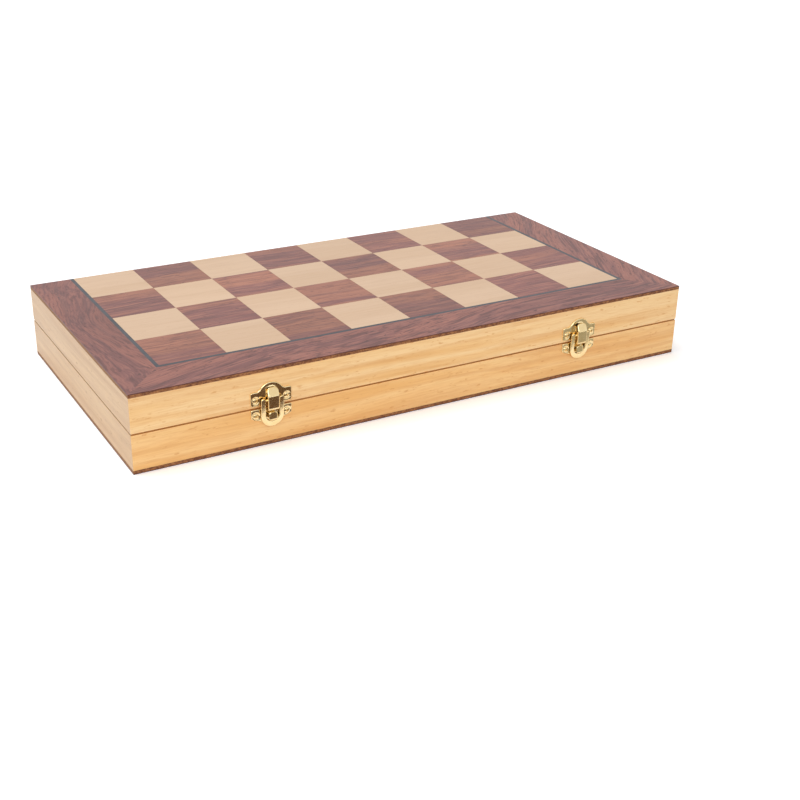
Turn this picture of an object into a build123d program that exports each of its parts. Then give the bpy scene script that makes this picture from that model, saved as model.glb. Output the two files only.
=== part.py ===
from build123d import *

import os
from dataclasses import dataclass
from math import atan, cos, pi, sin

# A folding chess set, closed. X runs along the case, Y from the latches at the front to
# the hinges at the back, Z up. The origin is the centre of the underside. Sizes in mm.

# Inlaid board: each half of the case carries four of the eight rows of squares
square = 41.5
columns = 8
rows = 4
side_border = 29.0
front_border = 31.0
inlay_width = 2.4
veneer_thickness = 0.5
veneer_joint = 0.06
core_thickness = 1.9

# Mitred rails of each half
rail_height = 22.0
rail_thickness = 9.0
parting_gap = 0.2
eased_edge = 0.5

# Felt lining and foam tray in each half
lining_thickness = 0.8
foam_thickness = 12.0
tray_gap = 0.2
pocket_gap = 0.5
rest_gap = 0.2

# Screws, bars, bores and turned chessmen are made in flats
round_sides = 12
screw_sides = 8

# Butt hinges, let into the rims of the back rails
hinge_end_distance = 62.0
hinge_length = 25.0
leaf_reach = 7.6
leaf_thickness = 0.8
barrel_radius = 1.6
hinge_pin_radius = 0.75
pin_clearance = 0.03
knuckle_gap = 0.2
axis_overhang = 0.12
mortise_gap = 0.1
hinge_screw_spacing = 14.0
hinge_screw_setback = 4.8

# Draw latches: u runs along the case, v out from its front, w up from the parting line
latch_end_distance = 84.2
plate_width = 26.0
plate_thickness = 0.9
shoulder_height = 10.6
arch_height = 15.5
arch_half_width = 7.8
shoulder_dip = 1.0
shoulder_rise = 1.2
shoulder_radius = 1.0
plate_corner_radius = 1.2
upper_plate_bottom = 1.6
lower_plate_top = -0.3
lower_plate_side = -6.0
lower_plate_bottom = -10.2
lower_plate_tip_width = 8.0
lower_plate_tip_radius = 4.0
latch_screw_spacing = 19.8
upper_screw_level = 5.2
lower_screw_level = -4.7

# Lever of a latch: a folded channel on a pivot pin between two ears
pivot_out = 3.1
pivot_up = 0.7
latch_pin_radius = 0.7
lever_end_radius = 2.0
lever_width = 7.2
lever_wall = 0.7
lever_bend_up = 8.0
lever_tab_out = 2.9
lever_tab_up = 12.8
lever_tab_radius = 2.4
lever_flange_rise = 0.6
ear_width = 5.6
ear_thickness = 0.6
ear_radius = 1.2
ear_root_rise = 3.6
running_clearance = 0.05

# Bail of a latch: a flat loop that hangs on the lever and goes round the hook
bail_pivot_out = 2.6
bail_pivot_up = 5.0
bail_drop = 13.42
bail_lean = 0.85
bail_thickness = 1.2
bail_width = 14.5
bail_arm_width = 2.9
bail_band_width = 3.7
bail_stub_radius = 0.6
bail_stub_inset = 0.9

# Hook of a latch: a tongue raised from the lower plate
hook_width = 5.5
hook_clearance = 0.12
hook_thickness = 0.8
hook_root_up = -8.15
hook_bend = 1.1
hook_out = 3.7
hook_lean = 0.45
hook_tip_up = -2.9


@dataclass(frozen=True)
class Screw:
    """A countersunk screw: its outline starts at the head, at height 0 on its seat's face."""

    head_radius: float
    head_height: float
    dome_height: float
    shank_radius: float
    length: float
    tip_length: float

    def outline(self):
        return [
            (0, self.dome_height),
            (self.head_radius, 0),
            (self.shank_radius, -self.head_height),
            (self.shank_radius, self.tip_length - self.length),
            (0, -self.length),
        ]

    def countersink(self, grow):
        """The cone that the head needs through a plate."""
        return [
            (0, grow),
            (self.head_radius + 2 * grow, grow),
            (self.shank_radius + grow, -self.head_height - grow),
            (0, -self.head_height - grow),
        ]

    def pilot(self, grow):
        """The straight hole that the shank needs in the wood."""
        return [
            (0, grow),
            (self.shank_radius + 2 * grow, grow),
            (self.shank_radius + 2 * grow, -self.length - grow),
            (0, -self.length - grow),
        ]


# A screw's head is as high as the plate that it holds is thick
hinge_screw = Screw(
    head_radius=1.7,
    head_height=leaf_thickness,
    dome_height=0.0,
    shank_radius=0.8,
    length=8.0,
    tip_length=2.0,
)
latch_screw = Screw(
    head_radius=1.9,
    head_height=plate_thickness,
    dome_height=0.45,
    shank_radius=0.9,
    length=8.0,
    tip_length=2.0,
)
screw_clearance = 0.04


@dataclass(frozen=True)
class Chessman:
    """A turned chessman. The crown's points are (radius, distance below the top)."""

    kind: str
    height: float
    base_radius: float
    foot_radius: float
    foot_height: float
    neck_radius: float
    crown: tuple
    head_reach: float = 0.0
    head_thickness: float = 0.0

    def outline(self):
        neck_drop = self.crown[0][1] + neck_flare
        stem = [
            (0, 0),
            (self.base_radius, 0),
            (self.base_radius, base_height),
            (self.foot_radius, self.foot_height),
            (self.neck_radius, self.height - neck_drop),
        ]
        return stem + [(radius, self.height - drop) for radius, drop in self.crown]

    def body_radius(self):
        """Widest radius above the foot, a flat head's reach to one side included."""
        return max([self.head_reach] + [r for r, z in self.outline() if z > base_height])

    def tilt(self):
        """Angle that brings the base's rim and the head to rest on one plane."""
        above = [(r, z) for r, z in self.outline() if z > self.foot_height]
        if self.head_thickness:
            above.append((self.head_thickness / 2, self.height))
        return atan(min((self.base_radius - r) / (z - base_height) for r, z in above))


base_height = 3.5
neck_flare = 2.5
king = Chessman("king", 74.0, 14.0, 8.0, 12.0, 4.4, ((8.2, 19.5), (5.0, 17.0), (7.4, 8.5), (0, 6.0)))
queen = Chessman("queen", 66.0, 13.5, 7.6, 11.5, 4.2, ((7.8, 16.0), (4.6, 14.0), (7.8, 5.0), (0, 0)))
bishop = Chessman("bishop", 58.0, 12.0, 6.8, 10.5, 3.8, ((6.8, 17.0), (4.2, 15.0), (5.8, 9.5), (0, 0)))
rook = Chessman("rook", 46.0, 12.0, 7.2, 10.0, 5.6, ((8.4, 9.5), (8.4, 0), (0, 0)))
pawn = Chessman("pawn", 40.0, 10.0, 5.4, 8.5, 3.2, ((5.8, 8.0), (5.2, 3.0), (0, 0)))
knight = Chessman(
    "knight", 54.0, 12.0, 8.6, 9.5, 7.6, ((7.6, 40.0), (0, 40.0)), head_reach=12.0, head_thickness=9.0
)

cross_height = 7.5
cross_span = 5.6
cross_bar = 1.9
cross_arm_drop = 3.4
mitre_slot_width = 1.3
mitre_slot_length = 10.0
mitre_slot_out = 5.0
mitre_slot_drop = 4.0
mitre_slot_slope = 37.0
battlement_wall = 3.0
battlement_depth = 3.0
battlement_gap = 2.6

# A horse's head from chest to ear, in shares of its reach and height, and its arched mane
horse_front = (
    (-0.54, 0.0), (0.57, 0.0), (0.45, 0.22), (0.3, 0.37), (0.52, 0.43), (0.88, 0.4),
    (1.0, 0.5), (0.72, 0.68), (0.42, 0.82), (0.3, 1.0), (0.05, 0.88),
)
horse_mane = ((0.05, 0.88), (-0.62, 0.56), (-0.54, 0.0))

# Rows of chessmen in the trays, two rows in each half
tray_pitch = 46.0
officer_base_margin = 4.5
pawn_base_offset = 28.0
officer_order = [rook, knight, bishop, queen, king, bishop, knight, rook]

length = columns * square + 2 * side_border
width = rows * square + front_border
half_depth = veneer_thickness + core_thickness + rail_height
height = 2 * half_depth + parting_gap
front_y = -width / 2
back_y = width / 2
parting_z = height / 2
axis_y = back_y + axis_overhang
rail_depth = veneer_thickness + core_thickness
tray_depth = rail_depth + lining_thickness


@dataclass(frozen=True)
class Half:
    """One half of the case, measured inward from its playing face."""

    name: str
    face_z: float
    inward: int
    colour: str
    officers_side: int
    first_square: str

    def level(self, depth):
        return self.face_z + self.inward * depth


lower = Half("lower", 0.0, 1, "light", -1, "dark")
upper = Half("upper", height, -1, "dark", 1, "light")


def save(part, label):
    """Name a finished piece and write it."""
    part.label = label
    export_step(part, f"parts/{label}.step")


def moved(plane, x, y, z=0.0):
    """The same plane with its origin at local (x, y, z)."""
    return Plane(origin=plane.from_local_coords((x, y, z)), x_dir=plane.x_dir, z_dir=plane.z_dir)


def lathed(outline, sides):
    """A turned form in flats: its silhouette, extruded across each pair of sides in turn.

    The outline's points are (radius, height), from the axis round to the axis again.
    """
    reach = 2 * max(radius for radius, z in outline)
    with BuildPart() as form:
        for index in range(sides // 2):
            turn = 2 * pi / sides * index
            across = Plane((0, 0, 0), x_dir=(cos(turn), sin(turn), 0), z_dir=(sin(turn), -cos(turn), 0))
            with BuildSketch(across) as silhouette:
                with BuildLine():
                    Polyline(*outline)
                    mirror(about=Plane.YZ)
                make_face()
            mode = Mode.INTERSECT if index else Mode.ADD
            extrude(silhouette.sketch, amount=reach, both=True, mode=mode)
    return form.part


def bar(place, radius, half_length, mode=Mode.ADD):
    """A small round bar, or a hole for one, through a place and along its z axis."""
    with BuildSketch(place) as section:
        RegularPolygon(radius, round_sides, major_radius=mode is Mode.ADD)
    extrude(section.sketch, amount=half_length, both=True, mode=mode)


def slab(half, depth, thickness, outline, mode=Mode.ADD):
    """Extrude a closed outline of (x, y) points inward from a depth below the playing face."""
    with BuildSketch(Plane.XY.offset(half.level(depth))) as plan:
        with BuildLine():
            Polyline(*outline, close=True)
        make_face()
    extrude(plan.sketch, amount=half.inward * thickness, mode=mode)


def rectangle(x_low, x_high, y_low, y_high):
    return [(x_low, y_low), (x_high, y_low), (x_high, y_high), (x_low, y_high)]


# Corners of the case's outline, moved in by a distance from each side
sides = {
    "front": ("front_left", "front_right"),
    "right": ("front_right", "back_right"),
    "back": ("back_right", "back_left"),
    "left": ("back_left", "front_left"),
}


def corners(side_inset, front_inset, back_inset):
    x = length / 2 - side_inset
    return {
        "front_left": (-x, front_y + front_inset),
        "front_right": (x, front_y + front_inset),
        "back_right": (x, back_y - back_inset),
        "back_left": (-x, back_y - back_inset),
    }


def mitred(side, outer, inner):
    """Outline of one mitred strip between two nested outlines."""
    start, end = sides[side]
    return [outer[start], outer[end], inner[end], inner[start]]


case_outline = corners(0, 0, 0)
cavity_outline = corners(rail_thickness, rail_thickness, rail_thickness)
inlay_outline = corners(side_border - inlay_width, front_border - inlay_width, 0)
squares_outline = corners(side_border, front_border, 0)
cavity_x = length / 2 - rail_thickness
cavity_y = width / 2 - rail_thickness

hinge_x = length / 2 - hinge_end_distance
latch_x = length / 2 - latch_end_distance
hands = {"left": -1, "right": 1}


def hinge_axis_place(x):
    """At the hinge's axis, with z along the case."""
    return Plane(origin=(x, axis_y, parting_z), x_dir=(0, 1, 0), z_dir=(1, 0, 0))


def hinge_screw_places(half, x):
    """On the rim of a half, with z out of the wood."""
    for offset in (-hinge_screw_spacing / 2, hinge_screw_spacing / 2):
        yield Plane(
            origin=(x + offset, axis_y - hinge_screw_setback, half.level(half_depth)),
            x_dir=(1, 0, 0),
            z_dir=(0, 0, half.inward),
        )


def latch_front(x):
    """On the front of the case at the parting line: local x is u, y is w and z is v."""
    return Plane(origin=(x, front_y, parting_z), x_dir=(1, 0, 0), z_dir=(0, -1, 0))


def latch_side(x):
    """The latch's middle plane: local x is v and y is w."""
    return Plane(origin=(x, front_y, parting_z), x_dir=(0, -1, 0), z_dir=(-1, 0, 0))


def latch_screw_places(half, x):
    """On the front of a latch's plate, with z out of the wood."""
    level = lower_screw_level if half is lower else upper_screw_level
    for offset in (-latch_screw_spacing / 2, latch_screw_spacing / 2):
        yield moved(latch_front(x), offset, level, plate_thickness)


def cut_screw_holes(outline, places):
    """Cut a countersink or a pilot hole, given by its outline, at each screw's place."""
    with Locations(*places):
        add(lathed(outline, screw_sides), mode=Mode.SUBTRACT)


# Board cores, borders, inlay lines and squares
def build_board(half):
    with BuildPart() as core:
        slab(half, veneer_thickness, core_thickness, list(case_outline.values()))
    save(core.part, f"{half.name}_board_core")

    for side in ("front", "left", "right"):
        with BuildPart() as border:
            slab(half, 0, veneer_thickness, mitred(side, case_outline, inlay_outline))
        save(border.part, f"{half.name}_{side}_border")

    with BuildPart() as inlay:
        for side in ("front", "left", "right"):
            slab(half, 0, veneer_thickness, mitred(side, inlay_outline, squares_outline))
    save(inlay.part, f"{half.name}_inlay_line")

    other = {"dark": "light", "light": "dark"}
    for colour, parity in ((half.first_square, 0), (other[half.first_square], 1)):
        places = [
            ((column - (columns - 1) / 2) * square, back_y - (row + 0.5) * square)
            for row in range(rows)
            for column in range(columns)
            if (row + column) % 2 == parity
        ]
        with BuildPart() as squares:
            with BuildSketch(Plane.XY.offset(half.level(0))):
                with Locations(*places):
                    Rectangle(square - veneer_joint, square - veneer_joint)
            extrude(amount=half.inward * veneer_thickness)
        save(squares.part, f"{half.name}_{colour}_squares")


# Rails, with the seats of the hinges and the pilot holes of the screws
def build_rails(half):
    for side in sides:
        with BuildPart() as rail:
            slab(half, rail_depth, rail_height, mitred(side, case_outline, cavity_outline))
            rim = rail.faces().sort_by(Axis.Z)[-1 if half.inward > 0 else 0]
            chamfer(rim.edges().sort_by(SortBy.LENGTH)[-1], eased_edge)
            for hand in hands.values():
                if side == "back":
                    cut_hinge_seat(half, hand * hinge_x)
                if side == "front":
                    cut_screw_holes(
                        latch_screw.pilot(screw_clearance), latch_screw_places(half, hand * latch_x)
                    )
        save(rail.part, f"{half.name}_{side}_rail")


def cut_hinge_seat(half, x):
    """A mortise for the leaf, a rebate for the barrel and pilot holes in a back rail."""
    reach = hinge_length / 2 + mortise_gap
    seats = (
        (leaf_reach + mortise_gap, leaf_thickness + mortise_gap),
        (barrel_radius + knuckle_gap, barrel_radius + knuckle_gap),
    )
    for setback, depth in seats:
        seat = rectangle(x - reach, x + reach, axis_y - setback, back_y + barrel_radius)
        slab(half, half_depth - depth, depth, seat, Mode.SUBTRACT)
    cut_screw_holes(hinge_screw.pilot(screw_clearance), hinge_screw_places(half, x))


# Hinges: the lower leaf has the two outer knuckles, the upper leaf the middle one
def build_leaf(half, x, label):
    knuckle_pitch = hinge_length / 3
    span = (knuckle_pitch - knuckle_gap) / 2
    knuckles = (-1, 1) if half is lower else (0,)
    leaf_edge = axis_y - barrel_radius - knuckle_gap
    with BuildPart() as leaf:
        outline = rectangle(
            x - hinge_length / 2, x + hinge_length / 2, axis_y - leaf_reach, leaf_edge
        )
        slab(half, half_depth - leaf_thickness, leaf_thickness, outline)
        for index in knuckles:
            middle = x + index * knuckle_pitch
            tongue = rectangle(middle - span, middle + span, leaf_edge, axis_y - hinge_pin_radius)
            slab(half, half_depth - leaf_thickness, leaf_thickness, tongue)
            bar(hinge_axis_place(middle), barrel_radius, span)
        bar(hinge_axis_place(x), hinge_pin_radius + pin_clearance, hinge_length, Mode.SUBTRACT)
        cut_screw_holes(hinge_screw.countersink(screw_clearance), hinge_screw_places(half, x))
    save(leaf.part, label)


def build_hinges():
    for name, hand in hands.items():
        x = hand * hinge_x
        for half in (lower, upper):
            build_leaf(half, x, f"{name}_hinge_{half.name}_leaf")
        with BuildPart() as pin:
            with BuildSketch(hinge_axis_place(x)):
                Circle(hinge_pin_radius)
            extrude(amount=hinge_length / 2, both=True)
        save(pin.part, f"{name}_hinge_pin")


def build_screws():
    for half in (lower, upper):
        with BuildPart() as hinge_screws:
            for hand in hands.values():
                with Locations(*hinge_screw_places(half, hand * hinge_x)):
                    add(lathed(hinge_screw.outline(), screw_sides))
        save(hinge_screws.part, f"{half.name}_hinge_screws")
        with BuildPart() as latch_screws:
            for hand in hands.values():
                with Locations(*latch_screw_places(half, hand * latch_x)):
                    add(lathed(latch_screw.outline(), screw_sides))
        save(latch_screws.part, f"{half.name}_latch_screws")


# Latches
def build_upper_plate(x, label):
    corner = plate_width / 2
    with BuildPart() as plate:
        with BuildSketch(latch_front(x)):
            with BuildLine():
                Line((0, upper_plate_bottom), (corner, upper_plate_bottom))
                FilletPolyline(
                    (corner, upper_plate_bottom),
                    (corner, shoulder_height),
                    (arch_half_width + shoulder_dip, shoulder_height),
                    (arch_half_width - shoulder_dip, shoulder_height + shoulder_rise),
                    radius=(plate_corner_radius, shoulder_radius),
                )
                mirror(about=Plane.YZ)
                ThreePointArc(
                    (-arch_half_width + shoulder_dip, shoulder_height + shoulder_rise),
                    (0, arch_height),
                    (arch_half_width - shoulder_dip, shoulder_height + shoulder_rise),
                )
            make_face()
        extrude(amount=plate_thickness)
        with BuildSketch(latch_side(x)):
            with BuildLine():
                Polyline(
                    (pivot_out, pivot_up - ear_radius),
                    (plate_thickness / 2, upper_plate_bottom),
                    (plate_thickness / 2, pivot_up + ear_root_rise),
                    (pivot_out, pivot_up + ear_radius),
                )
                ThreePointArc(
                    (pivot_out, pivot_up + ear_radius),
                    (pivot_out + ear_radius, pivot_up),
                    (pivot_out, pivot_up - ear_radius),
                )
            make_face()
        extrude(amount=ear_width / 2, both=True)
        with BuildSketch(latch_side(x)):
            with BuildLine():
                Polyline(
                    *rectangle(
                        plate_thickness,
                        pivot_out + 2 * ear_radius,
                        pivot_up - 2 * ear_radius,
                        pivot_up + ear_root_rise,
                    ),
                    close=True,
                )
            make_face()
        extrude(amount=ear_width / 2 - ear_thickness, both=True, mode=Mode.SUBTRACT)
        pivot = moved(latch_side(x), pivot_out, pivot_up)
        bar(pivot, latch_pin_radius + pin_clearance, ear_width, Mode.SUBTRACT)
        cut_screw_holes(latch_screw.countersink(screw_clearance), latch_screw_places(upper, x))
    save(plate.part, label)


def build_lower_plate(x, label):
    corner = plate_width / 2
    with BuildPart() as hook:
        with BuildSketch(latch_side(x)):
            with BuildLine():
                Polyline(*hook_outline(), close=True)
            make_face()
        extrude(amount=hook_width / 2, both=True)
        # Seen from the front the tongue is rounded to sit in the bail's loop
        loop_radius = bail_width / 2 - bail_arm_width
        loop_up = bail_pivot_up - bail_drop + loop_radius
        with BuildSketch(latch_front(x)):
            with Locations((0, loop_up)):
                Circle(loop_radius - hook_clearance)
            with Locations((0, loop_up + loop_radius)):
                Rectangle(hook_width, 2 * loop_radius)
        extrude(amount=2 * hook_out, mode=Mode.INTERSECT)

    with BuildPart() as plate:
        with BuildSketch(latch_front(x)):
            with BuildLine():
                Line((0, lower_plate_top), (corner, lower_plate_top))
                FilletPolyline(
                    (corner, lower_plate_top),
                    (corner, lower_plate_side),
                    (lower_plate_tip_width / 2, lower_plate_bottom),
                    (0, lower_plate_bottom),
                    radius=(plate_corner_radius, lower_plate_tip_radius),
                )
                mirror(about=Plane.YZ)
            make_face()
        extrude(amount=plate_thickness)
        add(hook.part)
        cut_screw_holes(latch_screw.countersink(screw_clearance), latch_screw_places(lower, x))
    save(plate.part, label)


def hook_outline():
    """The tongue's side view, (v, w): out of the plate, round the bend and up to the tip."""
    return [
        (plate_thickness / 2, hook_root_up),
        (hook_out - hook_bend, hook_root_up),
        (hook_out, hook_root_up + hook_bend),
        (hook_out - hook_lean, hook_tip_up),
        (hook_out - hook_lean - hook_thickness, hook_tip_up),
        (hook_out - hook_thickness, hook_root_up + hook_bend + hook_thickness / 2),
        (hook_out - hook_bend, hook_root_up + hook_thickness),
        (plate_thickness / 2, hook_root_up + hook_thickness),
    ]


def build_lever(x, label):
    front = pivot_out + lever_end_radius
    rear = pivot_out - lever_end_radius
    slope = Vector(lever_tab_out - front, lever_tab_up - lever_bend_up).normalized()
    inset = Vector(-slope.Y, slope.X) * lever_wall
    tab_back = (lever_tab_out + inset.X, lever_tab_up + inset.Y)
    inner_front = front - lever_wall
    inner_bend_up = tab_back[1] + (inner_front - tab_back[0]) * slope.Y / slope.X
    with BuildPart() as lever:
        with BuildSketch(latch_side(x)):
            with BuildLine():
                ThreePointArc(
                    (rear, pivot_up), (pivot_out, pivot_up - lever_end_radius), (front, pivot_up)
                )
                Polyline(
                    (front, pivot_up),
                    (front, lever_bend_up),
                    (lever_tab_out, lever_tab_up),
                    tab_back,
                    (rear, lever_bend_up + lever_flange_rise),
                    (rear, pivot_up),
                )
            make_face()
        extrude(amount=lever_width / 2, both=True)
        with BuildSketch(latch_side(x)):
            with BuildLine():
                Polyline(
                    (0, pivot_up - 2 * lever_end_radius),
                    (inner_front, pivot_up - 2 * lever_end_radius),
                    (inner_front, inner_bend_up),
                    tab_back,
                    (0, tab_back[1]),
                    close=True,
                )
            make_face()
        extrude(amount=lever_width / 2 - lever_wall, both=True, mode=Mode.SUBTRACT)
        pivots = (
            (pivot_out, pivot_up, latch_pin_radius),
            (bail_pivot_out, bail_pivot_up, bail_stub_radius),
        )
        for out, up, radius in pivots:
            bar(moved(latch_side(x), out, up), radius + running_clearance, lever_width, Mode.SUBTRACT)
        with BuildSketch(latch_front(x)):
            with BuildLine():
                FilletPolyline(
                    (-lever_width / 2, -2 * lever_end_radius),
                    (-lever_width / 2, lever_tab_up),
                    (lever_width / 2, lever_tab_up),
                    (lever_width / 2, -2 * lever_end_radius),
                    radius=lever_tab_radius,
                )
                Line((lever_width / 2, -2 * lever_end_radius), (-lever_width / 2, -2 * lever_end_radius))
            make_face()
        extrude(amount=2 * front, mode=Mode.INTERSECT)
    save(lever.part, label)


def build_bail(x, label):
    up = Vector(0, -bail_lean, bail_drop).normalized()
    hang = Plane(
        origin=(x, front_y - bail_pivot_out, parting_z + bail_pivot_up),
        x_dir=(1, 0, 0),
        z_dir=Vector(1, 0, 0).cross(up),
    )
    outer = bail_width / 2
    inner = outer - bail_arm_width
    end_radius = bail_arm_width / 2
    band_top = -Vector(bail_lean, bail_drop).length
    bottom = band_top - bail_band_width
    with BuildPart() as bail:
        with BuildSketch(hang):
            with BuildLine():
                ThreePointArc((-inner, band_top + inner), (0, band_top), (inner, band_top + inner))
                Line((inner, band_top + inner), (inner, 0))
                ThreePointArc((inner, 0), (inner + end_radius, end_radius), (outer, 0))
                Line((outer, 0), (outer, bottom + outer))
                ThreePointArc((outer, bottom + outer), (0, bottom), (-outer, bottom + outer))
                Line((-outer, bottom + outer), (-outer, 0))
                ThreePointArc((-outer, 0), (-inner - end_radius, end_radius), (-inner, 0))
                Line((-inner, 0), (-inner, band_top + inner))
            make_face()
        extrude(amount=bail_thickness / 2, both=True)
        stub_start = lever_width / 2 - bail_stub_inset
        stub_end = inner + bail_stub_inset / 2
        for hand in hands.values():
            middle = moved(latch_side(x), bail_pivot_out, bail_pivot_up, hand * (stub_start + stub_end) / 2)
            bar(middle, bail_stub_radius, (stub_end - stub_start) / 2)
    save(bail.part, label)


def build_latches():
    for name, hand in hands.items():
        x = hand * latch_x
        build_upper_plate(x, f"{name}_latch_upper_plate")
        build_lower_plate(x, f"{name}_latch_lower_plate")
        build_lever(x, f"{name}_latch_lever")
        build_bail(x, f"{name}_latch_bail")
        with BuildPart() as pin:
            bar(moved(latch_side(x), pivot_out, pivot_up), latch_pin_radius, lever_width / 2)
        save(pin.part, f"{name}_latch_pin")


# Chessmen, lying on their sides in the trays
def lying(man, x, base_y, toward, half):
    """The man's place: z along it towards its head, which dips to rest on the lining."""
    tilt = man.tilt()
    lift = base_height * sin(tilt) + man.base_radius * cos(tilt) + rest_gap
    return Plane(
        origin=(x, base_y, half.level(tray_depth + lift)),
        x_dir=(1, 0, 0),
        z_dir=(0, toward * cos(tilt), -half.inward * sin(tilt)),
    )


def chessman_form(man):
    """A man that stands on the origin."""
    with BuildPart() as form:
        add(lathed(man.outline(), round_sides))
        if man is king:
            with BuildSketch(Plane.XZ) as cross:
                with Locations((0, king.height - cross_height / 2)):
                    Rectangle(cross_bar, cross_height)
                with Locations((0, king.height - cross_arm_drop)):
                    Rectangle(cross_span, cross_bar)
            extrude(cross.sketch, amount=cross_bar / 2, both=True)
        if man is bishop:
            with BuildSketch(Plane.XZ) as slot:
                with Locations((mitre_slot_out, bishop.height - mitre_slot_drop)):
                    Rectangle(mitre_slot_length, mitre_slot_width, rotation=mitre_slot_slope)
            extrude(slot.sketch, amount=bishop.base_radius, both=True, mode=Mode.SUBTRACT)
        if man is rook:
            with BuildSketch(Plane.XY.offset(rook.height)) as well:
                RegularPolygon(rook.body_radius() - battlement_wall, round_sides)
                Rectangle(2 * rook.base_radius, battlement_gap)
                Rectangle(battlement_gap, 2 * rook.base_radius)
            extrude(well.sketch, amount=-battlement_depth, mode=Mode.SUBTRACT)
        if man is knight:
            head_height = knight.crown[0][1]
            with BuildSketch(Plane.XZ) as head:
                with BuildLine():
                    Polyline(*horse_points(horse_front, head_height))
                    ThreePointArc(*horse_points(horse_mane, head_height))
                make_face()
            extrude(head.sketch, amount=knight.head_thickness / 2, both=True)
    return form.part


def horse_points(shares, head_height):
    """Points of the horse's head, which stands one foot height above the stem's top."""
    return [
        (across * knight.head_reach, knight.height - head_height + up * head_height) for across, up in shares
    ]


def tray_rows(half):
    """Each man of a half with the x of its axis, the y of its base and its direction."""
    side = half.officers_side
    for index, man in enumerate(officer_order):
        x = (index - (columns - 1) / 2) * tray_pitch
        yield man, x, side * (cavity_y - officer_base_margin), -side
        yield pawn, x, -side * pawn_base_offset, -side


def pocket_outline(man, x, base_y, toward):
    """The man's outline seen from above: base disc, flared foot and the rest."""
    rim = man.base_radius + pocket_gap
    body = man.body_radius() + pocket_gap
    swing = man.base_radius * sin(man.tilt()) + pocket_gap
    start = base_y - toward * swing
    step = base_y + toward * (base_height + swing)
    foot = base_y + toward * (man.foot_height + swing)
    end = base_y + toward * (man.height + pocket_gap)
    return [
        (x - rim, start),
        (x + rim, start),
        (x + rim, step),
        (x + body, foot),
        (x + body, end),
        (x - body, end),
        (x - body, foot),
        (x - rim, step),
    ]


def build_tray(half):
    reach_x, reach_y = cavity_x - tray_gap, cavity_y - tray_gap
    floor = rectangle(-reach_x, reach_x, -reach_y, reach_y)
    with BuildPart() as lining:
        slab(half, rail_depth, lining_thickness, floor)
    save(lining.part, f"{half.name}_felt_lining")

    with BuildPart() as tray:
        slab(half, tray_depth, foam_thickness, floor)
        with BuildSketch(Plane.XY.offset(half.level(tray_depth))):
            for man, x, base_y, toward in tray_rows(half):
                with BuildLine():
                    Polyline(*pocket_outline(man, x, base_y, toward), close=True)
                make_face()
        extrude(amount=half.inward * foam_thickness, mode=Mode.SUBTRACT)
    save(tray.part, f"{half.name}_foam_tray")


def build_chessmen(half):
    plurals = {rook: "rooks", knight: "knights", bishop: "bishops", pawn: "pawns"}
    for kind in (king, queen, bishop, knight, rook, pawn):
        places = [
            lying(man, x, base_y, toward, half)
            for man, x, base_y, toward in tray_rows(half)
            if man is kind
        ]
        form = chessman_form(kind)
        with BuildPart() as men:
            with Locations(*places):
                add(form)
        save(men.part, f"{half.colour}_{plurals.get(kind, kind.kind)}")


def main():
    os.makedirs("parts", exist_ok=True)
    for half in (lower, upper):
        build_board(half)
        build_rails(half)
        build_tray(half)
        build_chessmen(half)
    build_hinges()
    build_latches()
    build_screws()


main()
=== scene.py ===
"""Looks of a folding chess set: an inlaid case with draw latches, and turned chessmen in foam trays.

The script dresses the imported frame. Rails, board cores, borders, inlay and squares keep their own
solids and get finishes. Latches, hinges, screws, chessmen, felt linings and foam trays are modelled
here as surfaces, each in the place of its node. Sizes are in millimetres until a mesh is made, and
in metres in materials, lamps and the camera.
"""

import logging
import math
from dataclasses import dataclass
from enum import Enum
from typing import Callable, ClassVar, Sequence

import bmesh
import bpy
import numpy as np
from mathutils import Matrix, Vector
from mathutils.geometry import delaunay_2d_cdt

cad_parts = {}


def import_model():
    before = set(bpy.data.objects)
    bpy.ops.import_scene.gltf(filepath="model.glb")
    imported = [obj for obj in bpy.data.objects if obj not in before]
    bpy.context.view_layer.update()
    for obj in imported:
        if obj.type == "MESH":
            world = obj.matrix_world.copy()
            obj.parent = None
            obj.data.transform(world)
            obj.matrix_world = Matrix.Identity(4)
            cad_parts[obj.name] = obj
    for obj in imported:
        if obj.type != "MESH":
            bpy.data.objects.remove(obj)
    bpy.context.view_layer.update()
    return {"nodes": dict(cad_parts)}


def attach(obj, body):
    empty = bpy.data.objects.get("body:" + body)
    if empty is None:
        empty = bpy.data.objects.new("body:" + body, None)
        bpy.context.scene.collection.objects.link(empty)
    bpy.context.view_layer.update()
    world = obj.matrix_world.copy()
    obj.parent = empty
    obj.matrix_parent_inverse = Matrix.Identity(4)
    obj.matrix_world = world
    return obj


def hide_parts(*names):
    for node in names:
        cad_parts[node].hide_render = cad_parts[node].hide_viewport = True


LOG = logging.getLogger("chess_set")
MM = 0.001
# Points of a mesh that are this near, in metres, are one.
MERGE_DISTANCE = 2e-6
# Stands for 0 where a number is divided by.
TINY = 1e-12
# The least cosine that an inset is divided by at a sharp corner.
LEAST_SLANT = 0.5
# Bulge of a quarter of a circle.
QUARTER = 0.414

Height = Callable[[np.ndarray], np.ndarray]
Triple = tuple[float, float, float]
Colour = Triple
Scale = float | Triple
Points = Sequence[tuple[float, ...]]
Socket = bpy.types.NodeSocket
Material = bpy.types.Material
Piece = bpy.types.Object


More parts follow.
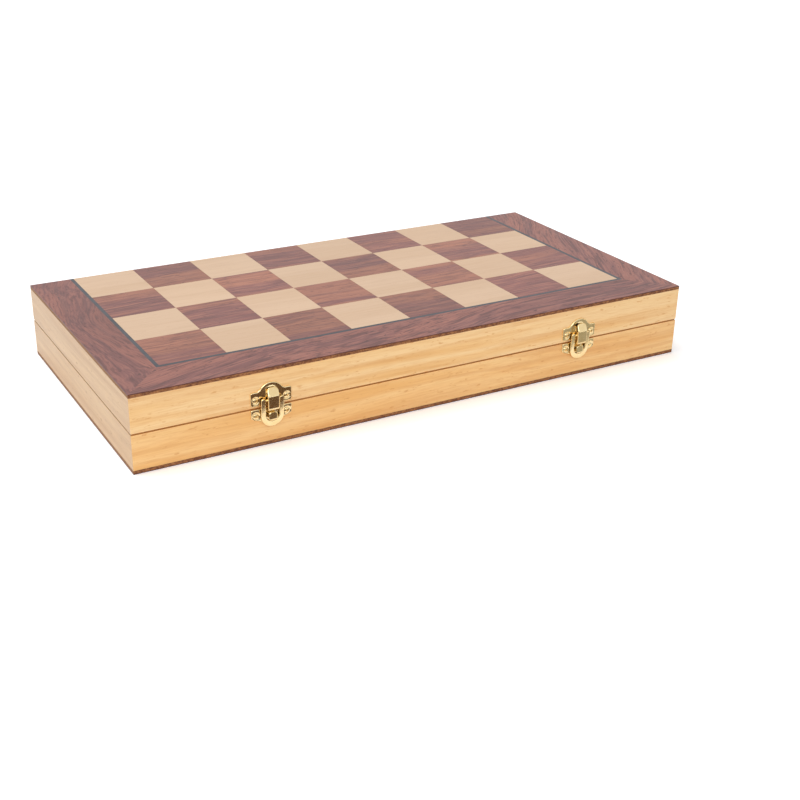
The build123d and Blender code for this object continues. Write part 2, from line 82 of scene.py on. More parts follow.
class Half(Enum):
    """The halves of the case: name, z of the playing face, way inwards, men and their officers' side."""

    LOWER = ("lower", 0.0, 1.0, "light", -1.0)
    UPPER = ("upper", 49.0, -1.0, "dark", 1.0)

    def __init__(self, label: str, face_z: float, inward: float, men: str, officers_side: float) -> None:
        """Keep the facts of a half under readable names.

        Args:
            label: Name of the half.
            face_z: Height of its playing face.
            inward: 1 where inwards is up, else -1.
            men: Colour of its chessmen.
            officers_side: Sign along Y of the side where its officers' bases lie.
        """
        self.label = label
        self.face_z = face_z
        self.inward = inward
        self.men = men
        self.officers_side = officers_side

    @property
    def body(self) -> str:
        """Name of the moving body that carries the half."""
        return f"{self.label}_half"

    def level(self, depth: float) -> float:
        """Height of a level given by its depth below the playing face."""
        return self.face_z + self.inward * depth

    def place(self, x: float, y: float, depth: float) -> "Place":
        """A frame at a depth below the playing face, with its z inwards."""
        return Place((x, y, self.level(depth)), z=(0.0, 0.0, self.inward))


class Hand(Enum):
    """The left and the right fitting of a pair."""

    LEFT = ("left", -1.0)
    RIGHT = ("right", 1.0)

    def __init__(self, label: str, side: float) -> None:
        """Keep the hand's name and its sign along X."""
        self.label = label
        self.side = side


@dataclass(frozen=True)
class Case:
    """Outer sizes of the case, as in the frame."""

    length: float = 390.0
    width: float = 197.0
    height: float = 49.0
    rail_thickness: float = 9.0
    half_depth: float = 24.4
    lining_depth: float = 2.4
    lining_thickness: float = 0.8
    foam_thickness: float = 12.0
    tray_gap: float = 0.2
    square: float = 41.5

    @property
    def front_y(self) -> float:
        """The front of the case."""
        return -self.width / 2

    @property
    def back_y(self) -> float:
        """The back of the case, where the hinges are."""
        return self.width / 2

    @property
    def parting_z(self) -> float:
        """Height of the line between the halves."""
        return self.height / 2

    @property
    def foam_depth(self) -> float:
        """Depth of the face that the foam lies on."""
        return self.lining_depth + self.lining_thickness

    @property
    def tray_reach(self) -> tuple[float, float]:
        """Half length and half width of the linings and trays."""
        spare = self.rail_thickness + self.tray_gap
        return self.length / 2 - spare, self.width / 2 - spare


CASE = Case()


@dataclass(frozen=True)
class Place:
    """A local frame: an origin and three axes, as rows, in the case's frame."""

    origin: Triple = (0.0, 0.0, 0.0)
    x: Triple = (1.0, 0.0, 0.0)
    y: Triple = (0.0, 1.0, 0.0)
    z: Triple = (0.0, 0.0, 1.0)

    def put(self, points: np.ndarray) -> np.ndarray:
        """Turn local points into points of the case's frame."""
        return np.asarray(self.origin) + points @ np.array([self.x, self.y, self.z])

    def moved(self, x: float, y: float, z: float = 0.0) -> "Place":
        """The same axes with the origin at a local point."""
        return Place(tuple(self.put(np.array([x, y, z]))), self.x, self.y, self.z)


@dataclass
class Surface:
    """Vertices and faces of one closed form, with the index of its finish."""

    points: np.ndarray
    faces: list[list[int]]
    finish: int = 0

    def placed(self, place: Place) -> "Surface":
        """The surface carried to a place."""
        return Surface(place.put(self.points), self.faces, self.finish)


def joined(parts: Sequence[Surface]) -> Surface:
    """Join surfaces into one list of vertices and faces.

    Args:
        parts: The surfaces.

    Returns:
        One surface with every vertex and face.
    """
    starts = np.cumsum([0] + [len(part.points) for part in parts])
    faces = [
        [index + int(start) for index in face]
        for part, start in zip(parts, starts)
        for face in part.faces
    ]
    return Surface(np.concatenate([part.points for part in parts]), faces)


def lofted(sections: np.ndarray, capped: bool = True, finish: int = 0) -> Surface:
    """Skin a row of closed sections.

    Args:
        sections: Points (section, place round it, xyz), each section closed on itself.
        capped: Whether the first and the last section get a flat face.
        finish: Index of the finish.

    Returns:
        The skin: point (i, j) is joined to (i, j+1), (i+1, j+1) and (i+1, j), with j counted round.
    """
    rows, columns = sections.shape[:2]
    index = np.arange(rows * columns).reshape(rows, columns)
    after = np.roll(index, -1, axis=1)
    quads = np.stack([index[:-1], after[:-1], after[1:], index[1:]], axis=-1).reshape(-1, 4).tolist()
    if capped:
        quads += [index[0, ::-1].tolist(), index[-1].tolist()]
    return Surface(sections.reshape(-1, 3), quads, finish)


def revolved(profile: np.ndarray, steps: int, finish: int = 0) -> Surface:
    """Turn a profile about z: (r cos t, r sin t, z) for each (r, z) of it and each angle t.

    Args:
        profile: Points (radius, height), (n, 2).
        steps: Points of a turn.
        finish: Index of the finish.

    Returns:
        The turned skin, closed where the profile starts and ends on the axis or closes on itself.
    """
    turn = np.linspace(0, 2 * math.pi, steps, endpoint=False)
    radius, height = profile[:, :1], profile[:, 1:]
    sections = np.stack([radius * np.cos(turn), radius * np.sin(turn), height + 0 * turn], axis=-1)
    return lofted(sections, capped=False, finish=finish)


def rod(reach: float, radius: float, rounding: float, steps: int) -> Surface:
    """A round bar with rounded ends about z, from -reach to reach.

    Args:
        reach: Half its length.
        radius: Its radius.
        rounding: Radius of the rounding at its ends.
        steps: Points of a turn.

    Returns:
        The closed bar.
    """
    neck = radius - rounding
    profile = (
        (0, -reach), (neck, -reach, QUARTER), (radius, rounding - reach),
        (radius, reach - rounding, QUARTER), (neck, reach), (0, reach),
    )
    return revolved(arcs(profile, 4), steps)


def arcs(points: Points, steps: int = 6) -> np.ndarray:
    """Sample a line of straight runs and arcs.

    Args:
        points: (x, y) or (x, y, bulge). The bulge is the rise of the arc that leads to the next
            point over half its chord, positive to the right of the way along.
        steps: Points of each arc.

    Returns:
        The sampled points, (n, 2). On an arc a point is the chord's point at share s, moved
        sideways by the circle through both ends with that rise.
    """
    line = []
    for here, there in zip(points[:-1], points[1:]):
        start, end = np.array(here[:2], float), np.array(there[:2], float)
        bulge = here[2] if len(here) > 2 else 0.0
        if not bulge:
            line.append(start[None])
            continue
        half = np.linalg.norm(end - start) / 2
        along = (end - start) / (2 * half)
        right = np.array([along[1], -along[0]])
        radius = half * (1 + bulge * bulge) / (2 * abs(bulge))
        sweep = 2 * math.atan(abs(bulge))
        angle = np.linspace(-sweep, sweep, steps, endpoint=False)
        offset = radius * (np.cos(angle) - math.cos(sweep)) * math.copysign(1, bulge)
        line.append((start + end) / 2 + np.outer(radius * np.sin(angle), along) + np.outer(offset, right))
    line.append(np.array([points[-1][:2]], float))
    return np.concatenate(line)


def even_loop(corners: np.ndarray, spacing: float) -> np.ndarray:
    """Walk round a closed line and set points about one spacing apart, its corners kept.

    Args:
        corners: Points of the line, (n, 2).
        spacing: Distance wanted from point to point.

    Returns:
        The points, (m, 2).
    """
    loop = []
    for start, end in zip(corners, np.roll(corners, -1, axis=0)):
        count = max(1, int(round(np.linalg.norm(end - start) / spacing)))
        share = np.linspace(0, 1, count, endpoint=False)[:, None]
        loop.append(start + share * (end - start))
    return np.concatenate(loop)


def circle(radius: float, steps: int, centre: tuple[float, float] = (0.0, 0.0)) -> np.ndarray:
    """Points of a circle, anticlockwise."""
    turn = np.linspace(0, 2 * math.pi, steps, endpoint=False)
    return np.stack([centre[0] + radius * np.cos(turn), centre[1] + radius * np.sin(turn)], axis=-1)


def rectangle(low: tuple[float, float], high: tuple[float, float]) -> np.ndarray:
    """Corners of a rectangle, anticlockwise."""
    (x0, y0), (x1, y1) = low, high
    return np.array([(x0, y0), (x1, y0), (x1, y1), (x0, y1)])


def mirrored_loop(right_half: np.ndarray) -> np.ndarray:
    """Close a half outline that starts and ends on x = 0 with its mirror image."""
    return np.concatenate([right_half, right_half[-2:0:-1] * (-1, 1)])


def inset(loop: np.ndarray, distance: float) -> np.ndarray:
    """Move an anticlockwise loop inwards: each point along the mean normal of its two sides.

    The way is the distance over the cosine of half the corner's turn, which counts as no less than
    the least slant.

    Args:
        loop: Points of the loop, (n, 2).
        distance: How far inwards; less than 0 is outwards.

    Returns:
        The moved points, (n, 2).
    """
    ahead = np.roll(loop, -1, axis=0) - loop
    ahead /= np.linalg.norm(ahead, axis=1, keepdims=True)
    behind = np.roll(ahead, 1, axis=0)
    normal = np.stack([-(ahead + behind)[:, 1], (ahead + behind)[:, 0]], axis=-1)
    normal /= np.linalg.norm(normal, axis=1, keepdims=True)
    slant = np.abs(normal[:, 0] * -behind[:, 1] + normal[:, 1] * behind[:, 0])
    return loop + normal * distance / np.maximum(LEAST_SLANT, slant)[:, None]


def depth_in(points: np.ndarray, loops: Sequence[np.ndarray], batch: int = 400) -> np.ndarray:
    """Signed distance from points to the nearest of some loops, positive inside an odd number of them.

    A point's distance is the least over all sides of its distance to the side's nearest point. It is
    inside where a ray towards +x crosses an odd number of sides.

    Args:
        points: Points of the plan, (n, 2).
        loops: Closed lines, (m, 2) each.
        batch: About how many points are worked out at a time.

    Returns:
        A distance for each point, (n,).
    """
    start = np.concatenate(loops)
    end = np.concatenate([np.roll(loop, -1, axis=0) for loop in loops])
    run = end - start
    square = np.maximum((run * run).sum(axis=1), TINY)
    rise = np.where(np.abs(run[:, 1]) < TINY, TINY, run[:, 1])
    result = []
    for some in np.array_split(points, max(1, len(points) // batch)):
        away = some[:, None] - start
        share = np.clip((away * run).sum(axis=2) / square, 0, 1)
        gap = np.linalg.norm(away - share[..., None] * run, axis=2).min(axis=1)
        astride = (start[:, 1] > some[:, None, 1]) != (end[:, 1] > some[:, None, 1])
        crossing = start[:, 0] + (some[:, None, 1] - start[:, 1]) / rise * run[:, 0]
        odd = (astride & (some[:, None, 0] < crossing)).sum(axis=1) % 2 == 1
        result.append(np.where(odd, gap, -gap))
    return np.concatenate(result)


def smooth(share: np.ndarray) -> np.ndarray:
    """Ease from 0 to 1: 3 s squared less 2 s cubed."""
    share = np.clip(share, 0, 1)
    return share * share * (3 - 2 * share)


def hill(points: np.ndarray, centre: tuple[float, float], reach: float) -> np.ndarray:
    """A round hill of height 1: the bell curve of the distance from its centre over its reach."""
    return np.exp(-((points - np.array(centre)) ** 2).sum(axis=1) / (reach * reach))


@dataclass
class Relief:
    """A plate given by its plan, with a rounded rim and a height over the plan.

    At a distance d inside the outline the face lies at thickness - rim + sqrt(rim^2 - (rim - d)^2)
    plus the height function there, which fades in over the fade width.
    """

    outline: np.ndarray
    thickness: float
    rim: float
    spacing: float
    holes: tuple[np.ndarray, ...] = ()
    height: Height | None = None
    both_sides: bool = False
    fade: float = 0.6
    rim_steps: int = 4
    clearance: ClassVar[float] = 0.45
    no_lattice: ClassVar[float] = 1e3
    snap: ClassVar[float] = 1e-7

    def front(self) -> tuple[np.ndarray, np.ndarray]:
        """Triangles of the face, between the rim's rings and over a lattice of even triangles inside.

        Returns:
            The plan's points with their heights, (n, 3), and the triangles, (m, 3).
        """
        outer = [self.outline] + list(self.holes)
        signs = [1] + [-1] * len(self.holes)
        angles = np.linspace(0, math.pi / 2, self.rim_steps + 1) if self.rim else np.zeros(1)
        drops = [self.rim * (1 - math.cos(angle)) for angle in angles]
        rings = [inset(loop, sign * drop) for drop in drops for loop, sign in zip(outer, signs)]
        low, high = self.outline.min(axis=0), self.outline.max(axis=0)
        across = np.arange(low[0] + self.spacing / 2, high[0], self.spacing)
        up = np.arange(low[1] + self.spacing / 2, high[1], self.spacing * math.sqrt(3) / 2)
        lattice = np.stack(np.meshgrid(across, up), axis=-1)
        lattice[1::2, :, 0] += self.spacing / 2
        lattice = lattice.reshape(-1, 2)
        lattice = lattice[depth_in(lattice, outer) > self.rim + self.clearance * self.spacing]
        plan = np.concatenate(rings + [lattice])
        edges, start = [], 0
        for ring in rings:
            index = np.arange(len(ring)) + start
            edges += np.stack([index, np.roll(index, -1)], axis=-1).tolist()
            start += len(ring)
        points, _, faces, *_ = delaunay_2d_cdt([Vector(p) for p in plan], edges, [], 0, self.snap)
        plan, faces = np.array([tuple(p) for p in points]), np.array(faces)
        faces = faces[depth_in(plan[faces].mean(axis=1), outer) > 0]
        depth = np.maximum(depth_in(plan, outer), 0)
        fall = np.maximum(self.rim - depth, 0)
        z = self.thickness - self.rim + np.sqrt(np.maximum(self.rim**2 - fall**2, 0))
        if self.height is not None:
            z = z + self.height(plan) * smooth(depth / self.fade)
        return np.column_stack([plan, z]), faces

    def surface(self) -> Surface:
        """The closed plate: its face, its walls and its back at z = 0, or the face mirrored there.

        Returns:
            One closed surface.
        """
        points, faces = self.front()
        shells = [Surface(points, faces.tolist())]
        top = self.thickness - self.rim
        if self.both_sides:
            low, points = -top, points * (1, 1, -1)
        else:
            flat = Relief(self.outline, thickness=0.0, rim=0.0, spacing=self.no_lattice, holes=self.holes)
            low, (points, faces) = 0.0, flat.front()
        shells.append(Surface(points, faces[:, ::-1].tolist()))
        for loop in (self.outline, *self.holes):
            rows = [np.column_stack([loop, np.full(len(loop), level)]) for level in (low, top)]
            shells.append(lofted(np.stack(rows), capped=False))
        return joined(shells)


def make_piece(
    name: str, surfaces: Sequence[Surface], finishes: Sequence[Material], sharp_degrees: float = 38.0
) -> Piece:
    """Make one object from closed surfaces: doubles merged, faces outwards, smooth but for its edges.

    Args:
        name: The object's name.
        surfaces: Closed forms in millimetres.
        finishes: The materials that the surfaces' finish numbers choose from.
        sharp_degrees: Edges that turn by more than this stay sharp.

    Returns:
        The object, at the origin, with its place in its mesh.
    """
    whole = joined(surfaces)
    mesh = bpy.data.meshes.new(name)
    mesh.from_pydata((whole.points * MM).tolist(), [], whole.faces)
    chosen = np.concatenate([np.full(len(part.faces), part.finish) for part in surfaces])
    for finish in finishes:
        mesh.materials.append(finish)
    mesh.polygons.foreach_set("material_index", chosen.astype(np.int32))
    shape = bmesh.new()
    shape.from_mesh(mesh)
    bmesh.ops.remove_doubles(shape, verts=shape.verts, dist=MERGE_DISTANCE)
    bmesh.ops.recalc_face_normals(shape, faces=shape.faces)
    shape.to_mesh(mesh)
    shape.free()
    mesh.polygons.foreach_set("use_smooth", np.ones(len(mesh.polygons), bool))
    mesh.set_sharp_from_angle(angle=math.radians(sharp_degrees))
    return linked(name, mesh)


def linked(name: str, data: bpy.types.ID) -> Piece:
    """Put a mesh, a lamp or a camera into the scene as an object.

    Args:
        name: The object's name.
        data: Its mesh, lamp or camera.

    Returns:
        The object.
    """
    made = bpy.data.objects.new(name, data)
    bpy.context.scene.collection.objects.link(made)
    return made


def seat(piece: Piece, body: str, slot: str, *nodes: str) -> None:
    """Let a piece ride on a body and stand for its nodes.

    Args:
        piece: The piece.
        body: The body that carries it.
        slot: Not used.
        *nodes: The frame's nodes that it stands for.
    """
    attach(piece, body)
    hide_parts(*nodes)
    LOG.info("%s rides on %s and stands for %s", piece.name, body, ", ".join(nodes))


class Nodes:
    """Adds nodes to a tree and joins them."""

    def __init__(self, tree: bpy.types.NodeTree) -> None:
        """Work on one tree."""
        self.tree = tree

    def node(self, kind: str, inputs: dict | None = None, **settings: object) -> bpy.types.Node:
        """Add a node, with values or sockets for its inputs and settings for itself.

        Args:
            kind: The node's type.
            inputs: A value or a socket for an input, by its name or index.
            **settings: Properties of the node.

        Returns:
            The node.
        """
        made = self.tree.nodes.new(kind)
        for key, value in settings.items():
            setattr(made, key, value)
        for key, value in (inputs or {}).items():
            self.join(value, made.inputs[key])
        return made

    def join(self, value: object, socket: Socket) -> None:
        """Link a socket, or set a constant. A triple on a colour's socket gets its alpha.

        Args:
            value: A socket, a number or a tuple.
            socket: The input that it goes to.
        """
        if isinstance(value, Socket):
            self.tree.links.new(value, socket)
        elif socket.type == "RGBA" and len(value) == 3:
            socket.default_value = (*value, 1.0)
        else:
            socket.default_value = value

    def math(self, operation: str, a: object, b: object = 0.0, c: object = 0.0) -> Socket:
        """One arithmetic step."""
        return self.node("ShaderNodeMath", {0: a, 1: b, 2: c}, operation=operation).outputs[0]

    def varied(self, value: object, base: float, span: float) -> Socket:
        """A base number plus a value times a span."""
        return self.math("MULTIPLY_ADD", value, span, base)

    def largest(self, first: object, *others: object) -> Socket:
        """The largest of some numbers.

        Args:
            first: A number.
            *others: More numbers.

        Returns:
            The largest.
        """
        for other in others:
            first = self.math("MAXIMUM", first, other)
        return first

    def vector(self, operation: str, a: object, b: object = (0, 0, 0)) -> Socket:
        """One arithmetic step on vectors."""
        return self.node("ShaderNodeVectorMath", {0: a, 1: b}, operation=operation).outputs[0]

    def length(self, vector: object) -> Socket:
        """The length of a vector."""
        return self.node("ShaderNodeVectorMath", {0: vector}, operation="LENGTH").outputs["Value"]

    def stretched(self, vector: object, scale: Scale) -> Socket:
        """Coordinates stretched by one scale, or by one for each axis."""
        return self.vector("MULTIPLY", vector, scale if isinstance(scale, tuple) else (scale,) * 3)

    def noise(self, vector: object, scale: Scale, detail: float, rough: float, warp: float) -> bpy.types.Node:
        """Cloudy noise with so many features to a unit of its coordinates.

        Args:
            vector: The coordinates.
            scale: Features to a unit, for every axis or for each.
            detail: How many finer layers it has.
            rough: How strong the finer layers are.
            warp: How far it is distorted.

        Returns:
            The node, with a number and a colour.
        """
        inputs = {"Vector": self.stretched(vector, scale), "Scale": 1.0}
        inputs |= {"Detail": detail, "Roughness": rough, "Distortion": warp}
        return self.node("ShaderNodeTexNoise", inputs)

    def cloud(
        self, vector: object, scale: Scale, detail: float, rough: float = 0.55, warp: float = 0.0
    ) -> Socket:
        """A number between 0 and 1 from noise."""
        return self.noise(vector, scale, detail, rough, warp).outputs[0]

    def sway(
        self, vector: object, scale: float, reach: float, rough: float = 0.55, warp: float = 0.0
    ) -> Socket:
        """A slow push aside: noise about 0 in each axis, times its reach."""
        colour = self.noise(vector, scale, 1.0, rough, warp).outputs["Color"]
        return self.stretched(self.vector("SUBTRACT", colour, (0.5,) * 3), reach)

    def ramp(self, value: object, stops: Sequence[tuple[float, object]]) -> Socket:
        """A colour ramp. A stop's colour is a triple or one grey number.

        Args:
            value: A number between 0 and 1.
            stops: Positions with their colours, in order.

        Returns:
            The colour at the value.
        """
        made = self.node("ShaderNodeValToRGB", {0: value})
        band = made.color_ramp
        while len(band.elements) < len(stops):
            band.elements.new(0.5)
        for element, (position, colour) in zip(band.elements, stops):
            element.position = position
            triple = colour if isinstance(colour, tuple) else (colour,) * 3
            element.color = (*triple, 1.0)
        return made.outputs["Color"]

    def rise(self, value: object, low: float, high: float) -> Socket:
        """0 up to a low value and 1 from a high value on."""
        return self.ramp(value, ((low, 0.0), (high, 1.0)))

    def fall(self, value: object, low: float, high: float) -> Socket:
        """1 up to a low value and 0 from a high value on."""
        return self.ramp(value, ((low, 1.0), (high, 0.0)))

    def mix(self, share: object, a: object, b: object, blend: str = "MIX") -> Socket:
        """Mix two colours.

        Args:
            share: 0 for the first colour, 1 for the second.
            a: The first colour.
            b: The second colour.
            blend: How the second goes over the first.

        Returns:
            The mixed colour.
        """
        made = self.node("ShaderNodeMix", data_type="RGBA", blend_type=blend)
        for index, value in ((0, share), (6, a), (7, b)):
            self.join(value, made.inputs[index])
        return made.outputs[2]

    def laid_over(self, tone: object, over: Colour, mask: object, share: float) -> Socket:
        """A colour over another one where a mask says so, at most by the share."""
        return self.mix(self.math("MULTIPLY", mask, share), tone, over)

    def seen(self) -> Socket:
        """1 for rays from the camera, by reflection or through glass, and 0 for diffuse light."""
        path = self.node("ShaderNodeLightPath").outputs
        return self.largest(path["Is Camera Ray"], path["Is Glossy Ray"], path["Is Transmission Ray"])


class Recipe(Nodes):
    """A material under construction."""

    def __init__(self, name: str) -> None:
        """Start a material with a Principled shader and Object coordinates.

        Args:
            name: The material's name.
        """
        self.material = bpy.data.materials.new(name)
        self.material.use_nodes = True
        super().__init__(self.material.node_tree)
        self.shader = self.tree.nodes["Principled BSDF"]
        texture = self.node("ShaderNodeTexCoord").outputs
        self.coordinates = texture["Object"]
        self.normal = texture["Normal"]

    def apart(self, vector: object) -> tuple[Socket, ...]:
        """The sizes of a vector's x, y and z, without their signs."""
        return tuple(self.node("ShaderNodeSeparateXYZ", {0: self.vector("ABSOLUTE", vector)}).outputs)

    def bump(self, height: object, distance: float, strength: float) -> None:
        """Give the shader a bump, in metres, from a height between 0 and 1."""
        made = self.node("ShaderNodeBump", {"Height": height, "Distance": distance, "Strength": strength})
        self.tree.links.new(made.outputs["Normal"], self.shader.inputs["Normal"])

    def finish(self, **inputs: object) -> Material:
        """Set the shader's inputs, written with _ for a space, and return the material.

        Args:
            **inputs: Values or sockets for the shader.

        Returns:
            The finished material.
        """
        for key, value in inputs.items():
            name = " ".join(word if word == "IOR" else word.capitalize() for word in key.split("_"))
            self.join(value, self.shader.inputs[name])
        return self.material


def linear(red: int, green: int, blue: int) -> Colour:
    """A colour of the screen, 0 to 255, as linear light."""
    levels = (red / 255, green / 255, blue / 255)
    return tuple(((v + 0.055) / 1.055) ** 2.4 if v > 0.04045 else v / 12.92 for v in levels)


def tones(**levels: tuple[int, int, int]) -> dict[str, Colour]:
    """Named colours of the screen as linear light."""
    return {name: linear(*level) for name, level in levels.items()}


class Grain(Enum):
    """Direction of the grain: 1 across it and a small share along it."""

    ALONG_X = (0.045, 1.0, 1.0)
    ALONG_Y = (1.0, 0.045, 1.0)

    def stretch(self, share: float) -> Triple:
        """A further stretch along the grain: above 1 streaks become dashes, below 1 long lines."""
        return tuple(1.0 if across == 1.0 else share for across in self.value)


class Figure(Enum):
    """Noises of a wood: features to a metre across the grain, detail, roughness, stretch along it."""

    SOFT_BANDS = (90.0, 1.0, 0.55, 1.0)
    BANDS = (38.0, 2.0, 0.5, 1.0)
    LONG_LINES = (230.0, 2.0, 0.5, 0.5)
    STREAKS = (210.0, 3.0, 0.6, 1.0)
    LINES = (640.0, 2.0, 0.55, 1.0)
    DASHES = (640.0, 2.0, 0.55, 6.0)
    FIBRE = (1300.0, 2.0, 0.7, 1.0)
    PORES = (1500.0, 2.0, 0.6, 1.0)

    def __init__(self, scale: float, detail: float, rough: float, stretch: float) -> None:
        """Keep a noise's numbers under readable names.

        Args:
            scale: Features to a metre across the grain.
            detail: How many finer layers it has.
            rough: How strong the finer layers are.
            stretch: A further stretch along the grain.
        """
        self.scale = scale
        self.detail = detail
        self.rough = rough
        self.stretch = stretch


class Tone(Enum):
    """Tones that a wood's layers take, by the name of the finish's field."""

    LINE = "line"
    LIGHT = "light"
    STREAK = "streak"


@dataclass(frozen=True)
class Layer:
    """A tone laid over a wood, at most by its share, where one of the noises is low or high.

    Its mask goes from 1 to 0 between two values of the noise, or from 0 to 1 if it is rising.
    """

    figure: Figure
    low: float
    high: float
    tone: Tone
    share: float
    rising: bool = False


class Timber(Recipe):
    """A wood under construction, with the noises that follow its grain."""

    def __init__(self, name: str, grain: Grain) -> None:
        """Start a wood by the direction of its grain.

        Args:
            name: The material's name.
            grain: Direction of the grain.
        """
        super().__init__(name)
        self.grain = grain
        self.along = self.coordinates
        self.made: dict[Figure, Socket] = {}

    def follow(self, vector: object) -> None:
        """Draw coordinates out along the grain, for the noises to be made on."""
        self.along = self.stretched(vector, self.grain.value)

    def figure(self, kind: Figure) -> Socket:
        """One of the noises, made once.

        Args:
            kind: Which noise.

        Returns:
            Its number between 0 and 1.
        """
        if kind not in self.made:
            along = self.along
            if kind.stretch != 1.0:
                along = self.stretched(along, self.grain.stretch(kind.stretch))
            self.made[kind] = self.cloud(along, kind.scale, kind.detail, kind.rough)
        return self.made[kind]

    def layered(self, tone: Socket, wood: object, contrast: float = 1.0) -> Socket:
        """Lay a wood's layers over a ground tone, in order.

        Args:
            tone: The ground tone.
            wood: The finish, with its layers and the tones that they name.
            contrast: Multiplies each layer's share.

        Returns:
            The finished tone.
        """
        for layer in wood.layers:
            ease = self.rise if layer.rising else self.fall
            mask = ease(self.figure(layer.figure), layer.low, layer.high)
            tone = self.laid_over(tone, getattr(wood, layer.tone.value), mask, layer.share * contrast)
        return tone


@dataclass(frozen=True)
class SolidPine:
    """Lacquered pine: soft lengthwise bands, orange lines, fine dashes, and painted shade on the eased edges
    along the parting line.
    """

    name: str
    pale: Colour
    deep: Colour
    line: Colour
    stain: Colour
    grain: Grain
    shift: float
    stain_reach: float = 0.0005
    stain_margin: ClassVar[float] = 0.6
    shift_shares: ClassVar[Triple] = (1.0, 0.7, 0.31)
    sway_scale: ClassVar[float] = 5.0
    sway_reach: ClassVar[float] = 0.012
    layers: ClassVar[tuple[Layer, ...]] = (
        Layer(Figure.LONG_LINES, 0.30, 0.52, Tone.LINE, 0.42),
        Layer(Figure.DASHES, 0.28, 0.36, Tone.LINE, 0.6),
        Layer(Figure.FIBRE, 0.35, 0.55, Tone.LINE, 0.26),
    )

    def material(self) -> Material:
        """Build the material. Bands, lines and dashes follow wide to narrow noise along the grain; the eased
        edges along the parting line take painted shade.

        Returns:
            The finished material.
        """
        r = Timber(self.name, self.grain)
        moved = r.vector("ADD", r.coordinates, tuple(self.shift * share for share in self.shift_shares))
        r.follow(r.vector("ADD", moved, r.sway(moved, self.sway_scale, self.sway_reach)))
        bands = ((0.30, self.deep), (0.50, self.pale), (0.56, self.pale), (0.74, self.deep))
        tone = r.layered(r.ramp(r.figure(Figure.SOFT_BANDS), bands), self)
        # Painted shade: the eased edges at the parting line are darkened orange-brown, standing in for the
        # shade in the groove between the halves.
        tone = r.mix(self.stained_edge(r), tone, self.stain)
        fibre = r.figure(Figure.FIBRE)
        r.bump(fibre, distance=0.00005, strength=0.35)
        gloss = r.varied(fibre, base=0.36, span=0.12)
        return r.finish(base_color=tone, roughness=gloss, coat_weight=0.15, coat_roughness=0.3)

    def stained_edge(self, r: Recipe) -> Socket:
        """Where the painted shade goes: 1 on the eased edges along the parting line, near its height and near
        the case's outside.

        Args:
            r: The material under construction.

        Returns:
            The mask, 0 or 1.
        """
        x, y, _ = r.apart(r.coordinates)
        height = r.node("ShaderNodeSeparateXYZ", {0: r.coordinates}).outputs[2]
        away = r.math("ABSOLUTE", r.math("SUBTRACT", height, CASE.parting_z * MM))
        outside = r.largest(
            r.math("SUBTRACT", x, (CASE.length / 2 - self.stain_margin) * MM),
            r.math("SUBTRACT", y, (CASE.width / 2 - self.stain_margin) * MM),
        )
        near = r.math("LESS_THAN", away, self.stain_reach)
        return r.math("MULTIPLY", near, r.math("GREATER_THAN", outside, 0.0))


